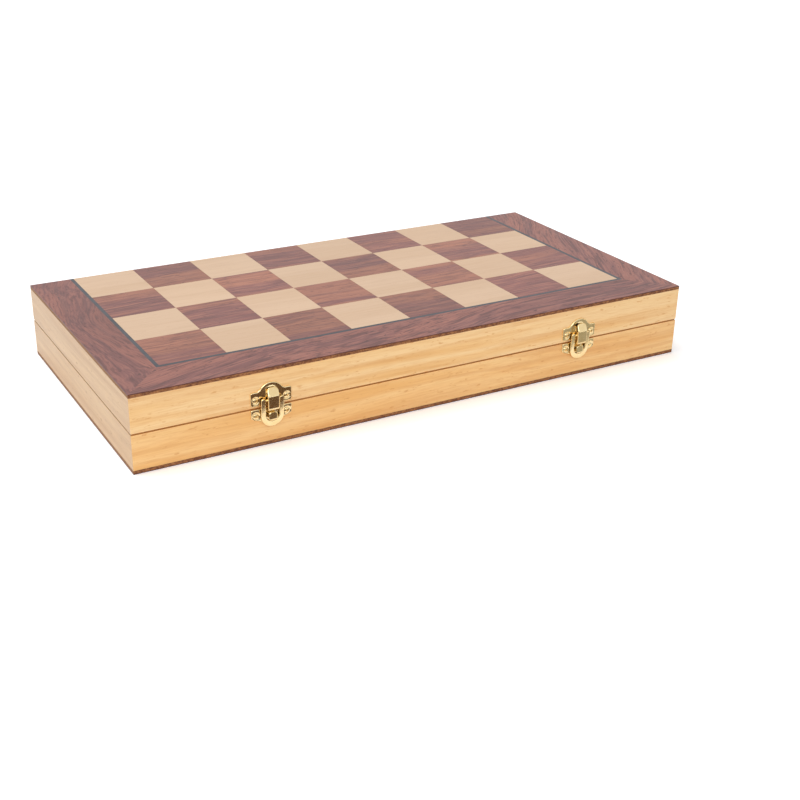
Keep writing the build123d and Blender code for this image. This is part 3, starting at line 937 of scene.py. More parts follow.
@dataclass(frozen=True)
class FiguredVeneer:
    """Dark figured veneer: two-toned bands, light and dark streaks, dashes, open pores, and painted shade on
    its upright side faces.

    The figure wanders and curls by slow noise, is turned, and may be pushed aside round a knot.
    """

    name: str
    pale: Colour
    deep: Colour
    light: Colour
    streak: Colour
    grain: Grain
    wander: float = 0.004
    wander_scale: float = 14.0
    curl: float = 0.0
    turn: float = 0.0
    variety: float = 0.0
    contrast: float = 1.0
    knot: tuple[float, float] | None = None
    sway_rough: ClassVar[float] = 0.5
    curl_scale_share: ClassVar[float] = 3.6
    curl_warp: ClassVar[float] = 0.8
    square_jump: ClassVar[float] = 3.0
    knot_push: ClassVar[float] = 0.03
    knot_reach: ClassVar[float] = 0.034
    knot_stretch: ClassVar[Triple] = (1.0, 0.6, 0.0)
    knot_share: ClassVar[float] = 0.4
    painted_side_shade_share: ClassVar[float] = 0.8
    layers: ClassVar[tuple[Layer, ...]] = (
        Layer(Figure.STREAKS, 0.52, 0.66, Tone.LIGHT, 0.55, rising=True),
        Layer(Figure.STREAKS, 0.34, 0.47, Tone.STREAK, 0.45),
        Layer(Figure.LINES, 0.54, 0.62, Tone.LIGHT, 0.45, rising=True),
        Layer(Figure.LINES, 0.38, 0.46, Tone.STREAK, 0.6),
        Layer(Figure.DASHES, 0.30, 0.37, Tone.STREAK, 0.9),
        Layer(Figure.PORES, 0.33, 0.43, Tone.STREAK, 0.3),
    )

    def own_piece(self, r: Recipe) -> tuple[Socket, Socket]:
        """Coordinates that jump from square to square, and a number between 0 and 1 for each square.

        Args:
            r: The material under construction.

        Returns:
            The coordinates and the number.
        """
        side = CASE.square * MM
        corner = r.vector("ADD", r.coordinates, (side * 4, -CASE.back_y * MM, 0))
        cell = r.vector("FLOOR", r.vector("DIVIDE", corner, (side, side, 1)))
        chance = r.node("ShaderNodeTexWhiteNoise", {"Vector": cell}, noise_dimensions="3D").outputs
        jump = r.stretched(chance["Color"], self.square_jump)
        return r.vector("ADD", r.coordinates, jump), chance["Value"]

    def nearness(self, r: Recipe) -> Socket:
        """1 at the knot, falling off as the bell curve of the distance over the knot's reach.

        Args:
            r: The material under construction.

        Returns:
            The nearness, between 0 and 1.
        """
        away = r.stretched(r.vector("SUBTRACT", r.coordinates, (*self.knot, 0.0)), self.knot_stretch)
        share = r.math("DIVIDE", r.length(away), self.knot_reach)
        return r.math("EXPONENT", r.math("MULTIPLY", r.math("MULTIPLY", share, share), -1.0))

    def material(self) -> Material:
        """Build the material. With variety, each square takes its own piece of the figure and tone.

        Returns:
            The finished material.
        """
        r = Timber(self.name, self.grain)
        start, luck = self.own_piece(r) if self.variety else (r.coordinates, None)
        pushed = r.vector("ADD", start, r.sway(start, self.wander_scale, self.wander, self.sway_rough))
        curl_scale = self.wander_scale * self.curl_scale_share
        curls = r.sway(start, curl_scale, self.curl, self.sway_rough, self.curl_warp)
        pushed = r.vector("ADD", pushed, curls)
        if self.knot:
            bent = self.nearness(r)
            aside = r.node("ShaderNodeCombineXYZ", {0: r.math("MULTIPLY", bent, self.knot_push)}).outputs[0]
            pushed = r.vector("ADD", pushed, aside)
        rotation = (0.0, 0.0, math.radians(self.turn))
        r.follow(r.node("ShaderNodeMapping", {"Vector": pushed, "Rotation": rotation}).outputs[0])
        bands = ((0.40, self.deep), (0.47, self.deep), (0.56, self.pale))
        tone = r.layered(r.ramp(r.figure(Figure.BANDS), bands), self, self.contrast)
        if self.knot:
            tone = r.laid_over(tone, self.streak, bent, self.knot_share)
        if self.variety:
            lift = r.varied(luck, base=1 - self.variety, span=2 * self.variety)
            grey = r.node("ShaderNodeCombineColor", {0: lift, 1: lift, 2: lift}).outputs[0]
            tone = r.mix(1.0, tone, grey, "MULTIPLY")
        # Painted shade: faces that stand upright are darkened towards the streak colour.
        wall = r.fall(r.apart(r.normal)[2], 0.3, 0.6)
        tone = r.laid_over(tone, self.streak, wall, self.painted_side_shade_share)
        r.bump(r.rise(r.figure(Figure.PORES), 0.33, 0.43), distance=0.00004, strength=0.4)
        gloss = r.varied(r.figure(Figure.STREAKS), base=0.34, span=0.14)
        return r.finish(base_color=tone, roughness=gloss, specular_IOR_level=0.4)


@dataclass(frozen=True)
class Fibreboard:
    """Brown pressed fibre with a rough, speckled edge, smoother and paler at the case's ends."""

    name: str
    pale: Colour
    deep: Colour
    end: Colour
    speckle: ClassVar[Triple] = (420.0, 420.0, 900.0)
    grit: ClassVar[float] = 1500.0
    grit_share: ClassVar[float] = 0.5
    end_share: ClassVar[float] = 0.75

    def material(self) -> Material:
        """Build the material from coarse and fine speckle.

        Returns:
            The finished material.
        """
        r = Recipe(self.name)
        coarse = r.cloud(r.coordinates, self.speckle, 5.0, 0.7)
        fine = r.cloud(r.coordinates, self.grit, 3.0, 0.7)
        tone = r.ramp(coarse, ((0.40, self.deep), (0.60, self.pale)))
        tone = r.laid_over(tone, self.deep, r.fall(fine, 0.4, 0.5), self.grit_share)
        tone = r.laid_over(tone, self.end, r.rise(r.apart(r.normal)[0], 0.4, 0.6), self.end_share)
        r.bump(r.math("ADD", coarse, fine), distance=0.00025, strength=0.8)
        return r.finish(base_color=tone, roughness=0.8)


@dataclass(frozen=True)
class PolishedBrass:
    """Bright brass plating with faint scuffs and a soft waviness."""

    name: str
    colour: Colour
    worn: Colour
    least_rough: ClassVar[float] = 0.10
    scuff_rough: ClassVar[float] = 0.12
    wave_scale: ClassVar[float] = 260.0
    wave_share: ClassVar[float] = 3.0
    worn_share: ClassVar[float] = 0.5
    scuff_scale: ClassVar[Triple] = (900.0, 900.0, 2600.0)

    def material(self) -> Material:
        """Build the material: scuffs roughen it, and a slow wave keeps reflections from being perfect.

        Returns:
            The finished material.
        """
        r = Recipe(self.name)
        wave = r.cloud(r.coordinates, self.wave_scale, 3.0)
        scuff = r.cloud(r.coordinates, self.scuff_scale, 4.0, 0.7)
        tone = r.laid_over(self.colour, self.worn, r.fall(wave, 0.35, 0.65), self.worn_share)
        gloss = r.varied(scuff, base=self.least_rough, span=self.scuff_rough)
        height = r.math("ADD", r.math("MULTIPLY", wave, self.wave_share), scuff)
        r.bump(height, distance=0.00002, strength=0.5)
        return r.finish(base_color=tone, metallic=1.0, roughness=gloss)


@dataclass(frozen=True)
class Cloth:
    """Felt or foam: soft matt colour with a nap or open cells."""

    name: str
    colour: Colour
    deep: Colour
    cells: float
    depth: float
    sheen: float
    cloud_scale: ClassVar[float] = 40.0
    cloud_share: ClassVar[float] = 0.3

    def material(self) -> Material:
        """Build the material from fine noise in colour and bump.

        Returns:
            The finished material.
        """
        r = Recipe(self.name)
        nap = r.cloud(r.coordinates, self.cells, 4.0, 0.7)
        tone = r.mix(r.rise(nap, 0.35, 0.65), self.deep, self.colour)
        tone = r.laid_over(tone, self.deep, r.cloud(r.coordinates, self.cloud_scale, 2.0), self.cloud_share)
        r.bump(nap, self.depth, strength=0.9)
        return r.finish(base_color=tone, roughness=0.95, sheen_weight=self.sheen, sheen_roughness=0.5)


@dataclass(frozen=True)
class TurnedWood:
    """Turned and lacquered wood of a chessman, streaked along Y, the way the men lie."""

    name: str
    pale: Colour
    deep: Colour
    stretch: ClassVar[Triple] = (1.0, 0.07, 1.0)
    streak_scale: ClassVar[float] = 240.0
    pore_scale: ClassVar[float] = 1500.0
    pore_share: ClassVar[float] = 0.35

    def material(self) -> Material:
        """Build the material from streaks, fine pores and a glossy coat.

        Returns:
            The finished material.
        """
        r = Recipe(self.name)
        along = r.stretched(r.coordinates, self.stretch)
        pores = r.cloud(along, self.pore_scale, 2.0, 0.6)
        streaks = r.cloud(along, self.streak_scale, 4.0, 0.6, 0.4)
        tone = r.ramp(streaks, ((0.34, self.deep), (0.6, self.pale)))
        tone = r.laid_over(tone, self.deep, r.fall(pores, 0.36, 0.46), self.pore_share)
        r.bump(pores, distance=0.00003, strength=0.3)
        return r.finish(base_color=tone, roughness=0.34, coat_weight=0.4, coat_roughness=0.15)


class Finishes:
    """Every finish of the set, built once."""

    def __init__(self) -> None:
        """Build the materials of wood, veneer, board, metal and cloth."""
        fronts = {
            Half.UPPER: tones(pale=(252, 211, 153), deep=(245, 192, 122), line=(220, 152, 80)),
            Half.LOWER: tones(pale=(250, 202, 136), deep=(243, 185, 111), line=(216, 142, 68)),
        }
        # Painted shade for the eased edges along the parting line, orange-brown.
        groove_shade_tone = linear(176, 108, 38)
        self.front_pine = {
            half: SolidPine(
                f"front_pine_{half.label}", grain=Grain.ALONG_X, shift=shift, stain=groove_shade_tone, **fronts[half]
            ).material()
            for half, shift in ((Half.UPPER, 0.3), (Half.LOWER, 1.7))
        }
        # Painted shade: the end rails take a darker, duller copy of the pine, standing in for the dimmer
        # light on the case's ends. Their eased edges at the parting line take painted shade too.
        ends = tones(pale=(217, 179, 131), deep=(206, 163, 113), line=(178, 130, 82), stain=(150, 104, 58))
        self.shaded_side_pine = {
            half: SolidPine(
                f"side_pine_{half.label}", grain=Grain.ALONG_Y, shift=shift, stain_reach=0.0004, **ends
            ).material()
            for half, shift in ((Half.UPPER, 2.9), (Half.LOWER, 4.4))
        }
        rosewood = tones(pale=(146, 88, 74), deep=(122, 72, 66), light=(164, 106, 90), streak=(80, 40, 36))
        self.front_border = FiguredVeneer(
            "front_border_veneer", grain=Grain.ALONG_X, wander=0.045, wander_scale=7.0, curl=0.003, turn=-8.0,
            contrast=1.1, **rosewood,
        ).material()
        self.left_border = FiguredVeneer(
            "left_border_veneer", grain=Grain.ALONG_Y, wander=0.04, wander_scale=9.0, curl=0.004, turn=5.0,
            contrast=0.9, knot=(-0.164, 0.012), **rosewood,
        ).material()
        self.right_border = FiguredVeneer(
            "right_border_veneer", grain=Grain.ALONG_Y, wander=0.03, wander_scale=9.0, curl=0.003, turn=27.0,
            **rosewood,
        ).material()
        self.dark_squares = FiguredVeneer(
            "dark_square_veneer", grain=Grain.ALONG_X, wander=0.012, variety=0.14, contrast=0.85,
            **tones(pale=(158, 99, 76), deep=(128, 76, 69), light=(176, 116, 92), streak=(92, 50, 44)),
        ).material()
        maple = tones(
            pale=(213, 179, 146), deep=(208, 173, 139), light=(217, 184, 153), streak=(190, 150, 114)
        )
        self.light_squares = FiguredVeneer(
            "light_square_veneer", grain=Grain.ALONG_X, variety=0.03, contrast=0.25, **maple
        ).material()
        self.inlay = FiguredVeneer(
            "inlay_veneer", grain=Grain.ALONG_X, contrast=0.5,
            **tones(pale=(66, 66, 71), deep=(54, 54, 60), light=(78, 78, 84), streak=(40, 42, 48)),
        ).material()
        board = tones(pale=(170, 112, 66), deep=(106, 60, 34), end=(156, 114, 80))
        self.board_core = Fibreboard("fibreboard", **board).material()
        self.brass = PolishedBrass(
            "polished_brass", **tones(colour=(238, 216, 168), worn=(224, 194, 136))
        ).material()
        green = tones(colour=(38, 104, 66), deep=(20, 68, 42))
        self.felt = Cloth("green_felt", cells=1800.0, depth=0.0002, sheen=0.3, **green).material()
        black = tones(colour=(52, 52, 54), deep=(30, 30, 32))
        self.foam = Cloth("black_foam", cells=1100.0, depth=0.00025, sheen=0.1, **black).material()
        self.wood = {
            Half.LOWER: TurnedWood(
                "light_boxwood", **tones(pale=(222, 184, 128), deep=(196, 150, 92))
            ).material(),
            Half.UPPER: TurnedWood(
                "dark_stained_wood", **tones(pale=(92, 52, 36), deep=(56, 30, 22))
            ).material(),
        }


def dress_boards(nodes: dict[str, Piece], finishes: Finishes) -> None:
    """Give the frame's own solids their finishes.

    Args:
        nodes: The frame's nodes by name.
        finishes: All finishes.
    """
    for half in Half:
        choice = {
            "board_core": finishes.board_core,
            "front_border": finishes.front_border,
            "left_border": finishes.left_border,
            "right_border": finishes.right_border,
            "inlay_line": finishes.inlay,
            "dark_squares": finishes.dark_squares,
            "light_squares": finishes.light_squares,
            "front_rail": finishes.front_pine[half],
            "back_rail": finishes.front_pine[half],
            "left_rail": finishes.shaded_side_pine[half],
            "right_rail": finishes.shaded_side_pine[half],
        }
        for name, material in choice.items():
            node = nodes[f"{half.label}_{name}"]
            node.data.materials.clear()
            node.data.materials.append(material)
            LOG.info("%s is finished in %s", node.name, material.name)


@dataclass(frozen=True)
class Screw:
    """A cross-head screw: a domed or flat head on a countersink, a shank and a point.

    What it is sunk by is how far its head lies below the face that it holds.
    """

    head_radius: float
    head_height: float
    dome: float
    shank_radius: float
    length: float
    sunk: float
    point: float = 1.5
    edge_start: float = 0.94
    edge_drop: float = 0.12
    recess_depth: float = 0.75
    recess_reach: float = 1.05
    recess_width: float = 0.3
    recess_shallower: float = 0.5
    width_ease: float = 0.14
    reach_ease: float = 0.3
    rings: int = 26
    steps: int = 72

    def surface(self, turn: float) -> Surface:
        """The screw on the origin, head up.

        Args:
            turn: Angle of the cross.

        Returns:
            Rings (r cos t, r sin t, z). On the head z is the dome's parabola less the cross: its depth
            times an ease of the distance to the nearer arm and of the distance from the middle, and
            shallower by a share at the arms' ends.
        """
        angle = np.linspace(0, 2 * math.pi, self.steps, endpoint=False)
        inner = np.linspace(0, self.head_radius * self.edge_start, self.rings)
        radius = np.concatenate([inner, [self.head_radius]])
        x, y = radius[:, None] * np.cos(angle), radius[:, None] * np.sin(angle)
        z = self.dome * (1 - (radius / self.head_radius) ** 2)[:, None] + 0 * x
        z[-1] -= self.edge_drop
        across = np.abs(x * math.cos(turn) + y * math.sin(turn))
        up = np.abs(y * math.cos(turn) - x * math.sin(turn))
        arm, reach = np.minimum(across, up), np.maximum(across, up)
        inside = smooth((self.recess_width - arm) / self.width_ease)
        inside = inside * smooth((self.recess_reach - reach) / self.reach_ease)
        z -= self.recess_depth * inside * (1 - self.recess_shallower * reach / self.recess_reach)
        r, low = np.array([
            (self.shank_radius, -self.head_height),
            (self.shank_radius, self.point - self.length),
            (0.0, -self.length),
        ]).T[..., None]
        below = np.stack([r * np.cos(angle), r * np.sin(angle), low + 0 * angle], axis=-1)
        return lofted(np.concatenate([np.stack([x, y, z], axis=-1), below]), capped=False)


HINGE_SCREW = Screw(head_radius=1.66, head_height=0.9, dome=0.0, shank_radius=0.76, length=7.9, sunk=0.06)
LATCH_SCREW = Screw(head_radius=1.86, head_height=1.0, dome=0.42, shank_radius=0.86, length=7.9, sunk=0.1)


@dataclass(frozen=True)
class Latch:
    """A brass draw latch. On its plates x is u, along the case, y is w, up, and z is v, out."""

    x_distance: float = 110.8
    plate_thickness: float = 0.9
    plate_rim: float = 0.55
    edge_step: float = 0.3
    face_step: float = 0.42
    screw_u: float = 9.9
    upper_screw_w: float = 5.2
    lower_screw_w: float = -4.7
    dish_flat: float = 1.9
    dish_radius: float = 2.7
    dish_depth: float = 0.3
    dome_w: float = 9.2
    dome_height: float = 0.85
    dome_flat: float = 1.0
    dome_reach: float = 4.6
    dome_squash: float = 0.92
    ear_reach: float = 2.8
    ear_thickness: float = 0.6
    ear_radius: float = 1.2
    ear_rim: float = 0.14
    pivot: tuple[float, float] = (3.1, 0.7)
    pin_radius: float = 0.68
    pin_rounding: float = 0.2
    pin_margin: float = 0.02
    lever_half_width: float = 3.6
    lever_wall: float = 0.7
    lever_end: float = 2.0
    lever_bend: float = 8.0
    lever_bend_reach: float = 0.6
    lever_climb: float = 2.6
    lever_flat_from: float = 3.0
    lever_tip: tuple[float, float] = (2.9, 12.8)
    lever_fold: float = 0.8
    lever_tab_radius: float = 2.4
    lever_least_turn: float = 0.12
    bail_pivot: tuple[float, float] = (2.6, 5.0)
    bail_drop: tuple[float, float] = (0.85, 13.42)
    bail_outer: float = 7.25
    bail_arm: float = 2.9
    bail_band: float = 3.7
    bail_thickness: float = 1.2
    bail_rim: float = 0.38
    stub_radius: float = 0.58
    stub_start: float = 2.8
    stub_length: float = 1.7
    hook_half_width: float = 2.72
    hook_thickness: float = 0.8
    hook_dome: float = 0.3
    hook_set_back: float = 0.12
    hook_squareness: float = 0.45
    hook_tip_w: float = -3.5
    hook_tip_reach: float = 0.55
    hook_tip_narrowing: float = 0.9
    loop_w: float = -4.07
    loop_radius: float = 4.2
    upper_outline: ClassVar[Points] = (
        (0, 1.6), (11.8, 1.6, QUARTER), (13.0, 2.8), (13.0, 9.4, QUARTER), (11.8, 10.6), (9.2, 10.6, -0.2),
        (8.0, 11.0), (6.8, 11.8, 0.27), (0, 15.5),
    )
    lower_outline: ClassVar[Points] = (
        (0, -10.2), (2.4, -10.1, 0.25), (4.6, -9.3), (12.2, -6.4, 0.35), (13.0, -5.2), (13.0, -1.3, QUARTER),
        (12.0, -0.3), (0, -0.3),
    )
    hook_line: ClassVar[Points] = ((0.5, -7.75), (2.3, -7.75, 0.38), (3.3, -6.9), (2.86, -2.95))

    def front(self, hand: Hand) -> Place:
        """The latch's frame on the front of the case: x along u, y up and z outwards."""
        origin = (hand.side * self.x_distance, CASE.front_y, CASE.parting_z)
        return Place(origin, (1, 0, 0), (0, 0, 1), (0, -1, 0))

    def side(self, hand: Hand) -> Place:
        """The latch's middle plane: x outwards (v), y up (w), z along the case."""
        return Place(self.front(hand).origin, (0, -1, 0), (0, 0, 1), (-1, 0, 0))

    def dishes(self, points: np.ndarray, screw_w: float) -> np.ndarray:
        """Shallow dishes round the two screws: minus the depth, eased to 0 at the dish's radius.

        Args:
            points: Points of a plate's plan, (n, 2).
            screw_w: Level of its screws.

        Returns:
            A height for each point, (n,).
        """
        total = np.zeros(len(points))
        slope = self.dish_radius - self.dish_flat
        for side in (-1, 1):
            away = np.linalg.norm(points - (side * self.screw_u, screw_w), axis=1)
            total -= self.dish_depth * (1 - smooth((away - self.dish_flat) / slope))
        return total

    def plate(self, right: Points, height: Height) -> Surface:
        """A plate from the right half of its outline and a height over it."""
        outline = even_loop(mirrored_loop(arcs(right, 8)), self.edge_step)
        return Relief(outline, self.plate_thickness, self.plate_rim, self.face_step, height=height).surface()

    def upper_plate(self) -> Surface:
        """The arched plate: dished round its screws and domed behind the lever's tab.

        Returns:
            The plate in the front's frame.
        """

        def height(points: np.ndarray) -> np.ndarray:
            """Dishes and the dome.

            Args:
                points: Points of the plan, (n, 2).

            Returns:
                A height for each point, (n,).
            """
            away = np.linalg.norm((points - (0, self.dome_w)) / (1.0, self.dome_squash), axis=1)
            dome = self.dome_height * (1 - smooth((away - self.dome_flat) / self.dome_reach))
            return self.dishes(points, self.upper_screw_w) + dome

        return self.plate(self.upper_outline, height)

    def lower_plate(self) -> Surface:
        """The tongue-shaped plate with its dished screws."""
        return self.plate(self.lower_outline, lambda points: self.dishes(points, self.lower_screw_w))

    def ears(self) -> list[Surface]:
        """Two ears folded out of the upper plate, each a rounded tab in the middle plane.

        Returns:
            Both ears in the middle plane's frame.
        """
        v, w = self.pivot
        r = self.ear_radius
        tab = arcs([(0.5, 1.6), (v, w - r, 1.0), (v, w + r), (0.5, w + 3.6)], 12)
        half = self.ear_thickness / 2
        outline = even_loop(tab, self.edge_step)
        ear = Relief(outline, half, self.ear_rim, spacing=0.5, both_sides=True, rim_steps=2).surface()
        return [ear.placed(Place((0, 0, side * (self.ear_reach - half)))) for side in (-1, 1)]

    def lever(self) -> Surface:
        """The folded lever, by levels.

        At a level w the front lies at v = 5.1 up to the bend and slopes to the tip above it. Below the
        pivot front and rear follow a circle. The section is a channel: out along one flange, round a
        fold, across, round the other fold and back, then the same inside by the wall's thickness.

        Returns:
            The lever in the middle plane's frame.
        """
        pv, pw = self.pivot
        front_v = pv + self.lever_end
        tip_v, tip_w = self.lever_tip
        reach, corner, least = self.lever_bend_reach, self.lever_tab_radius, self.lever_least_turn
        w = np.concatenate([
            pw - self.lever_end * np.cos(np.linspace(least, math.pi / 2, 12)),
            np.linspace(pw, self.lever_bend - 0.7, 10)[1:],
            np.linspace(self.lever_bend - reach, self.lever_bend + reach, 7),
            np.linspace(self.lever_bend + 0.9, tip_w - corner, 5),
            tip_w - corner * (1 - np.sin(np.linspace(0, math.pi / 2 - least, 12)[1:])),
        ])
        chord = np.sqrt(np.maximum(self.lever_end**2 - np.minimum(w - pw, 0) ** 2, 0))
        over = w - self.lever_bend
        eased = np.where(np.abs(over) < reach, (over + reach) ** 2 / (4 * reach), np.maximum(over, 0))
        lean = (front_v - tip_v) / (tip_w - self.lever_bend)
        front = pv + chord - lean * eased
        rear, upper_rear = pv - chord, front - self.lever_wall
        climb = smooth((over - reach) / self.lever_climb)
        rear = np.minimum(rear + climb * (upper_rear - rear), upper_rear)
        rear = np.where(over > self.lever_flat_from, upper_rear, rear)
        past = np.maximum(w - (tip_w - corner), 0)
        half = self.lever_half_width - corner + np.sqrt(np.maximum(corner**2 - past**2, 0))
        return lofted(np.stack([self.channel(*row) for row in zip(w, front, rear, half)]))

    def channel(self, w: float, front: float, rear: float, half: float) -> np.ndarray:
        """One closed section of the lever in the middle plane's frame.

        The folds are smaller where the section has no room for them.

        Args:
            w: Level of the section.
            front: v of its front.
            rear: v of the flanges' rear edges.
            half: Half its width.

        Returns:
            Points (v, w, u), (n, 3).
        """
        fold = min(self.lever_fold, half * 0.9, max(front - rear, 0.02) * 0.9)
        inner_fold = max(fold - self.lever_wall * 0.8, 0.05)
        outer = (front, half, fold)
        inner = (max(front - self.lever_wall, rear), half - self.lever_wall, inner_fold)
        turn = np.linspace(0, math.pi / 2, 6)
        rows = []
        for out, reach, radius in (outer, inner):
            reach = max(reach, 0.3)
            radius = min(radius, reach * 0.9)
            corner_v = out - radius * (1 - np.sin(turn))
            side_v = np.concatenate([[rear], np.maximum(corner_v, rear)])
            side_u = np.concatenate([[reach], reach - radius * (1 - np.cos(turn))])
            rows.append((np.concatenate([side_v, side_v[::-1]]), np.concatenate([side_u, -side_u[::-1]])))
        (outer_v, outer_u), (inner_v, inner_u) = rows
        v = np.concatenate([outer_v, inner_v[::-1]])
        u = np.concatenate([outer_u, inner_u[::-1]])
        return np.stack([v, np.full(len(v), w), u], axis=-1)

    def bail(self, hand: Hand) -> list[Surface]:
        """The flat loop, hanging from its stubs with its foot leaning in, and the two stubs.

        Args:
            hand: Which latch.

        Returns:
            The loop and the stubs, in the case's frame.
        """
        lean, drop = self.bail_drop
        hang = math.hypot(lean, drop)
        up = (0.0, -lean / hang, drop / hang)
        out = (0.0, -drop / hang, -lean / hang)
        v, w = self.bail_pivot
        front = self.front(hand)
        outer, inner = self.bail_outer, self.bail_outer - self.bail_arm
        foot_w, eye_w = -hang - self.bail_band + outer, -hang + inner
        corners = [
            (-inner, eye_w, 1.0), (inner, eye_w), (inner, 0, -1.0), (outer, 0), (outer, foot_w, -1.0),
            (-outer, foot_w), (-outer, 0, -1.0), (-inner, 0), (-inner, eye_w),
        ]
        outline = even_loop(arcs(corners, 24)[:-1][::-1], spacing=0.35)
        ring = Relief(outline, self.bail_thickness / 2, self.bail_rim, spacing=0.6, both_sides=True).surface()
        r, end = self.stub_radius, self.stub_length
        stub = revolved(np.array([(0, 0), (r, 0), (r, end), (0, end)], float), 24)
        stubs = []
        for side in (-1, 1):
            origin = front.moved(side * self.stub_start, w, v).origin
            stubs.append(stub.placed(Place(origin, (0, 1, 0), (0, 0, side), (side, 0, 0))))
        return [ring.placed(Place(front.moved(0, w, v).origin, (1, 0, 0), up, out))] + stubs

    def hook(self) -> Surface:
        """The tongue bent out of the lower plate.

        Its middle line runs out of the plate, round the bend and up. A section is an oval-cornered
        strip across that line, domed outwards, and drawn in where the bail's loop is round.

        Returns:
            The tongue in the middle plane's frame.
        """
        t = self.hook_thickness / 2
        line = arcs(self.hook_line, 10)
        line = np.concatenate([line[:-1], np.linspace(line[-2], line[-1], 9)[1:]])
        ahead = np.gradient(line, axis=0)
        ahead /= np.linalg.norm(ahead, axis=1, keepdims=True)
        outward = np.stack([ahead[:, 1], -ahead[:, 0]], axis=-1)
        edge = line[:, 1] + outward[:, 1] * t
        half = np.sqrt(np.maximum(self.loop_radius**2 - np.minimum(edge - self.loop_w, 0) ** 2, 0.4))
        tip = np.clip((line[:, 1] - self.hook_tip_w) / self.hook_tip_reach, 0, 0.98)
        narrower = self.hook_tip_narrowing * (1 - np.sqrt(1 - tip**2))
        half = np.minimum(half, self.hook_half_width) - narrower
        turn = np.linspace(0, 2 * math.pi, 36, endpoint=False)
        across, thick = (np.sign(v) * np.abs(v) ** self.hook_squareness for v in (np.cos(turn), np.sin(turn)))
        out = t * thick + self.hook_dome * (1 - across**2) - self.hook_set_back
        middle = line[:, None] + outward[:, None] * out[None, :, None]
        return lofted(np.concatenate([middle, (half[:, None] * across)[..., None]], axis=-1))

    def build(self, hand: Hand, brass: Material) -> None:
        """Make the five pieces of one latch and seat them on their bodies.

        Args:
            hand: Which latch.
            brass: The plating.
        """
        front, side = self.front(hand), self.side(hand)
        label = hand.label
        upper = [self.upper_plate().placed(front)] + [ear.placed(side) for ear in self.ears()]
        lower = [self.lower_plate().placed(front), self.hook().placed(side)]
        bar = rod(self.lever_half_width - self.pin_margin, self.pin_radius, self.pin_rounding, steps=32)
        pin = bar.placed(side.moved(*self.pivot))
        for name, surfaces, body, node in (
            ("arched_plate", upper, Half.UPPER.body, "upper_plate"),
            ("hook_plate", lower, Half.LOWER.body, "lower_plate"),
            ("lever", [self.lever().placed(side)], f"{label}_lever", "lever"),
            ("bail", self.bail(hand), f"{label}_bail", "bail"),
            ("lever_pin", [pin], Half.UPPER.body, "pin"),
        ):
            seat(make_piece(f"{label}_{name}", surfaces, [brass]), body, "brass", f"{label}_latch_{node}")


@dataclass(frozen=True)
class Hinge:
    """A small butt hinge let into the rims of the back rails."""

    x_distance: float = 133.0
    axis_y: float = 98.62
    length: float = 25.0
    leaf_reach: float = 7.6
    leaf_edge: float = 1.8
    leaf_thickness: float = 0.8
    leaf_rim: float = 0.16
    barrel_radius: float = 1.6
    barrel_rounding: float = 0.2
    pin_radius: float = 0.75
    pin_rounding: float = 0.25
    pin_play: float = 0.03
    knuckle_gap: float = 0.2
    screw_spacing: float = 14.0
    screw_setback: float = 4.8
    sink_radius: float = 1.75

    def axis(self, x: float) -> Place:
        """A frame on the hinge's axis, with its z along it."""
        return Place((x, self.axis_y, CASE.parting_z), (0, 1, 0), (0, 0, 1), (1, 0, 0))

    def leaf(self, half: Half, x: float) -> list[Surface]:
        """A leaf with two countersinks, and its tongues and knuckles.

        Args:
            half: The half that the leaf is screwed to.
            x: Middle of the hinge.

        Returns:
            The leaf's plate and, for each knuckle, a rolled barrel turned about the axis.
        """
        place = half.place(x, self.axis_y, CASE.half_depth - self.leaf_thickness)
        reach, thickness = self.length / 2, self.leaf_thickness
        outline = even_loop(rectangle((-reach, -self.leaf_reach), (reach, -self.leaf_edge)), spacing=0.6)
        holes = tuple(
            circle(self.sink_radius, 40, (side * self.screw_spacing / 2, -self.screw_setback))
            for side in (-1, 1)
        )
        plate = Relief(outline, thickness, self.leaf_rim, spacing=1.2, holes=holes, rim_steps=3)
        parts = [plate.surface().placed(place)]
        pitch = self.length / 3
        span = (pitch - self.knuckle_gap) / 2
        r, bore, edge = self.barrel_radius, self.pin_radius + self.pin_play, self.barrel_rounding
        barrel = revolved(arcs([
            (bore, -span), (r - edge, -span, QUARTER), (r, edge - span), (r, span - edge, QUARTER),
            (r - edge, span), (bore, span), (bore, -span),
        ], 4), 40)
        for index in (-1, 1) if half is Half.LOWER else (0,):
            shift = index * pitch
            tongue = rectangle((shift - span, -self.leaf_edge - 0.01), (shift + span, -r * 0.6))
            tab = Relief(even_loop(tongue, spacing=0.8), thickness, rim=0.0, spacing=2.0)
            parts.append(tab.surface().placed(place))
            parts.append(barrel.placed(self.axis(x + shift)))
        return parts

    def build(self, hand: Hand, brass: Material) -> None:
        """Make the leaves and the pin of one hinge and seat them.

        Args:
            hand: Which hinge.
            brass: The plating.
        """
        x = hand.side * self.x_distance
        for half in Half:
            leaf = make_piece(f"{hand.label}_{half.label}_leaf", self.leaf(half, x), [brass])
            seat(leaf, half.body, "brass", f"{hand.label}_hinge_{half.label}_leaf")
        bar = rod(self.length / 2, self.pin_radius, self.pin_rounding, steps=28)
        pin = make_piece(f"{hand.label}_hinge_pin_bar", [bar.placed(self.axis(x))], [brass])
        seat(pin, Half.LOWER.body, "brass", f"{hand.label}_hinge_pin")


def cross_turn(half: Half, hand: Hand, side: float) -> float:
    """The angle that a screw's cross came to rest at, another one for each screw."""
    return 0.35 + 1.1 * side + 0.7 * hand.side + 0.45 * half.inward


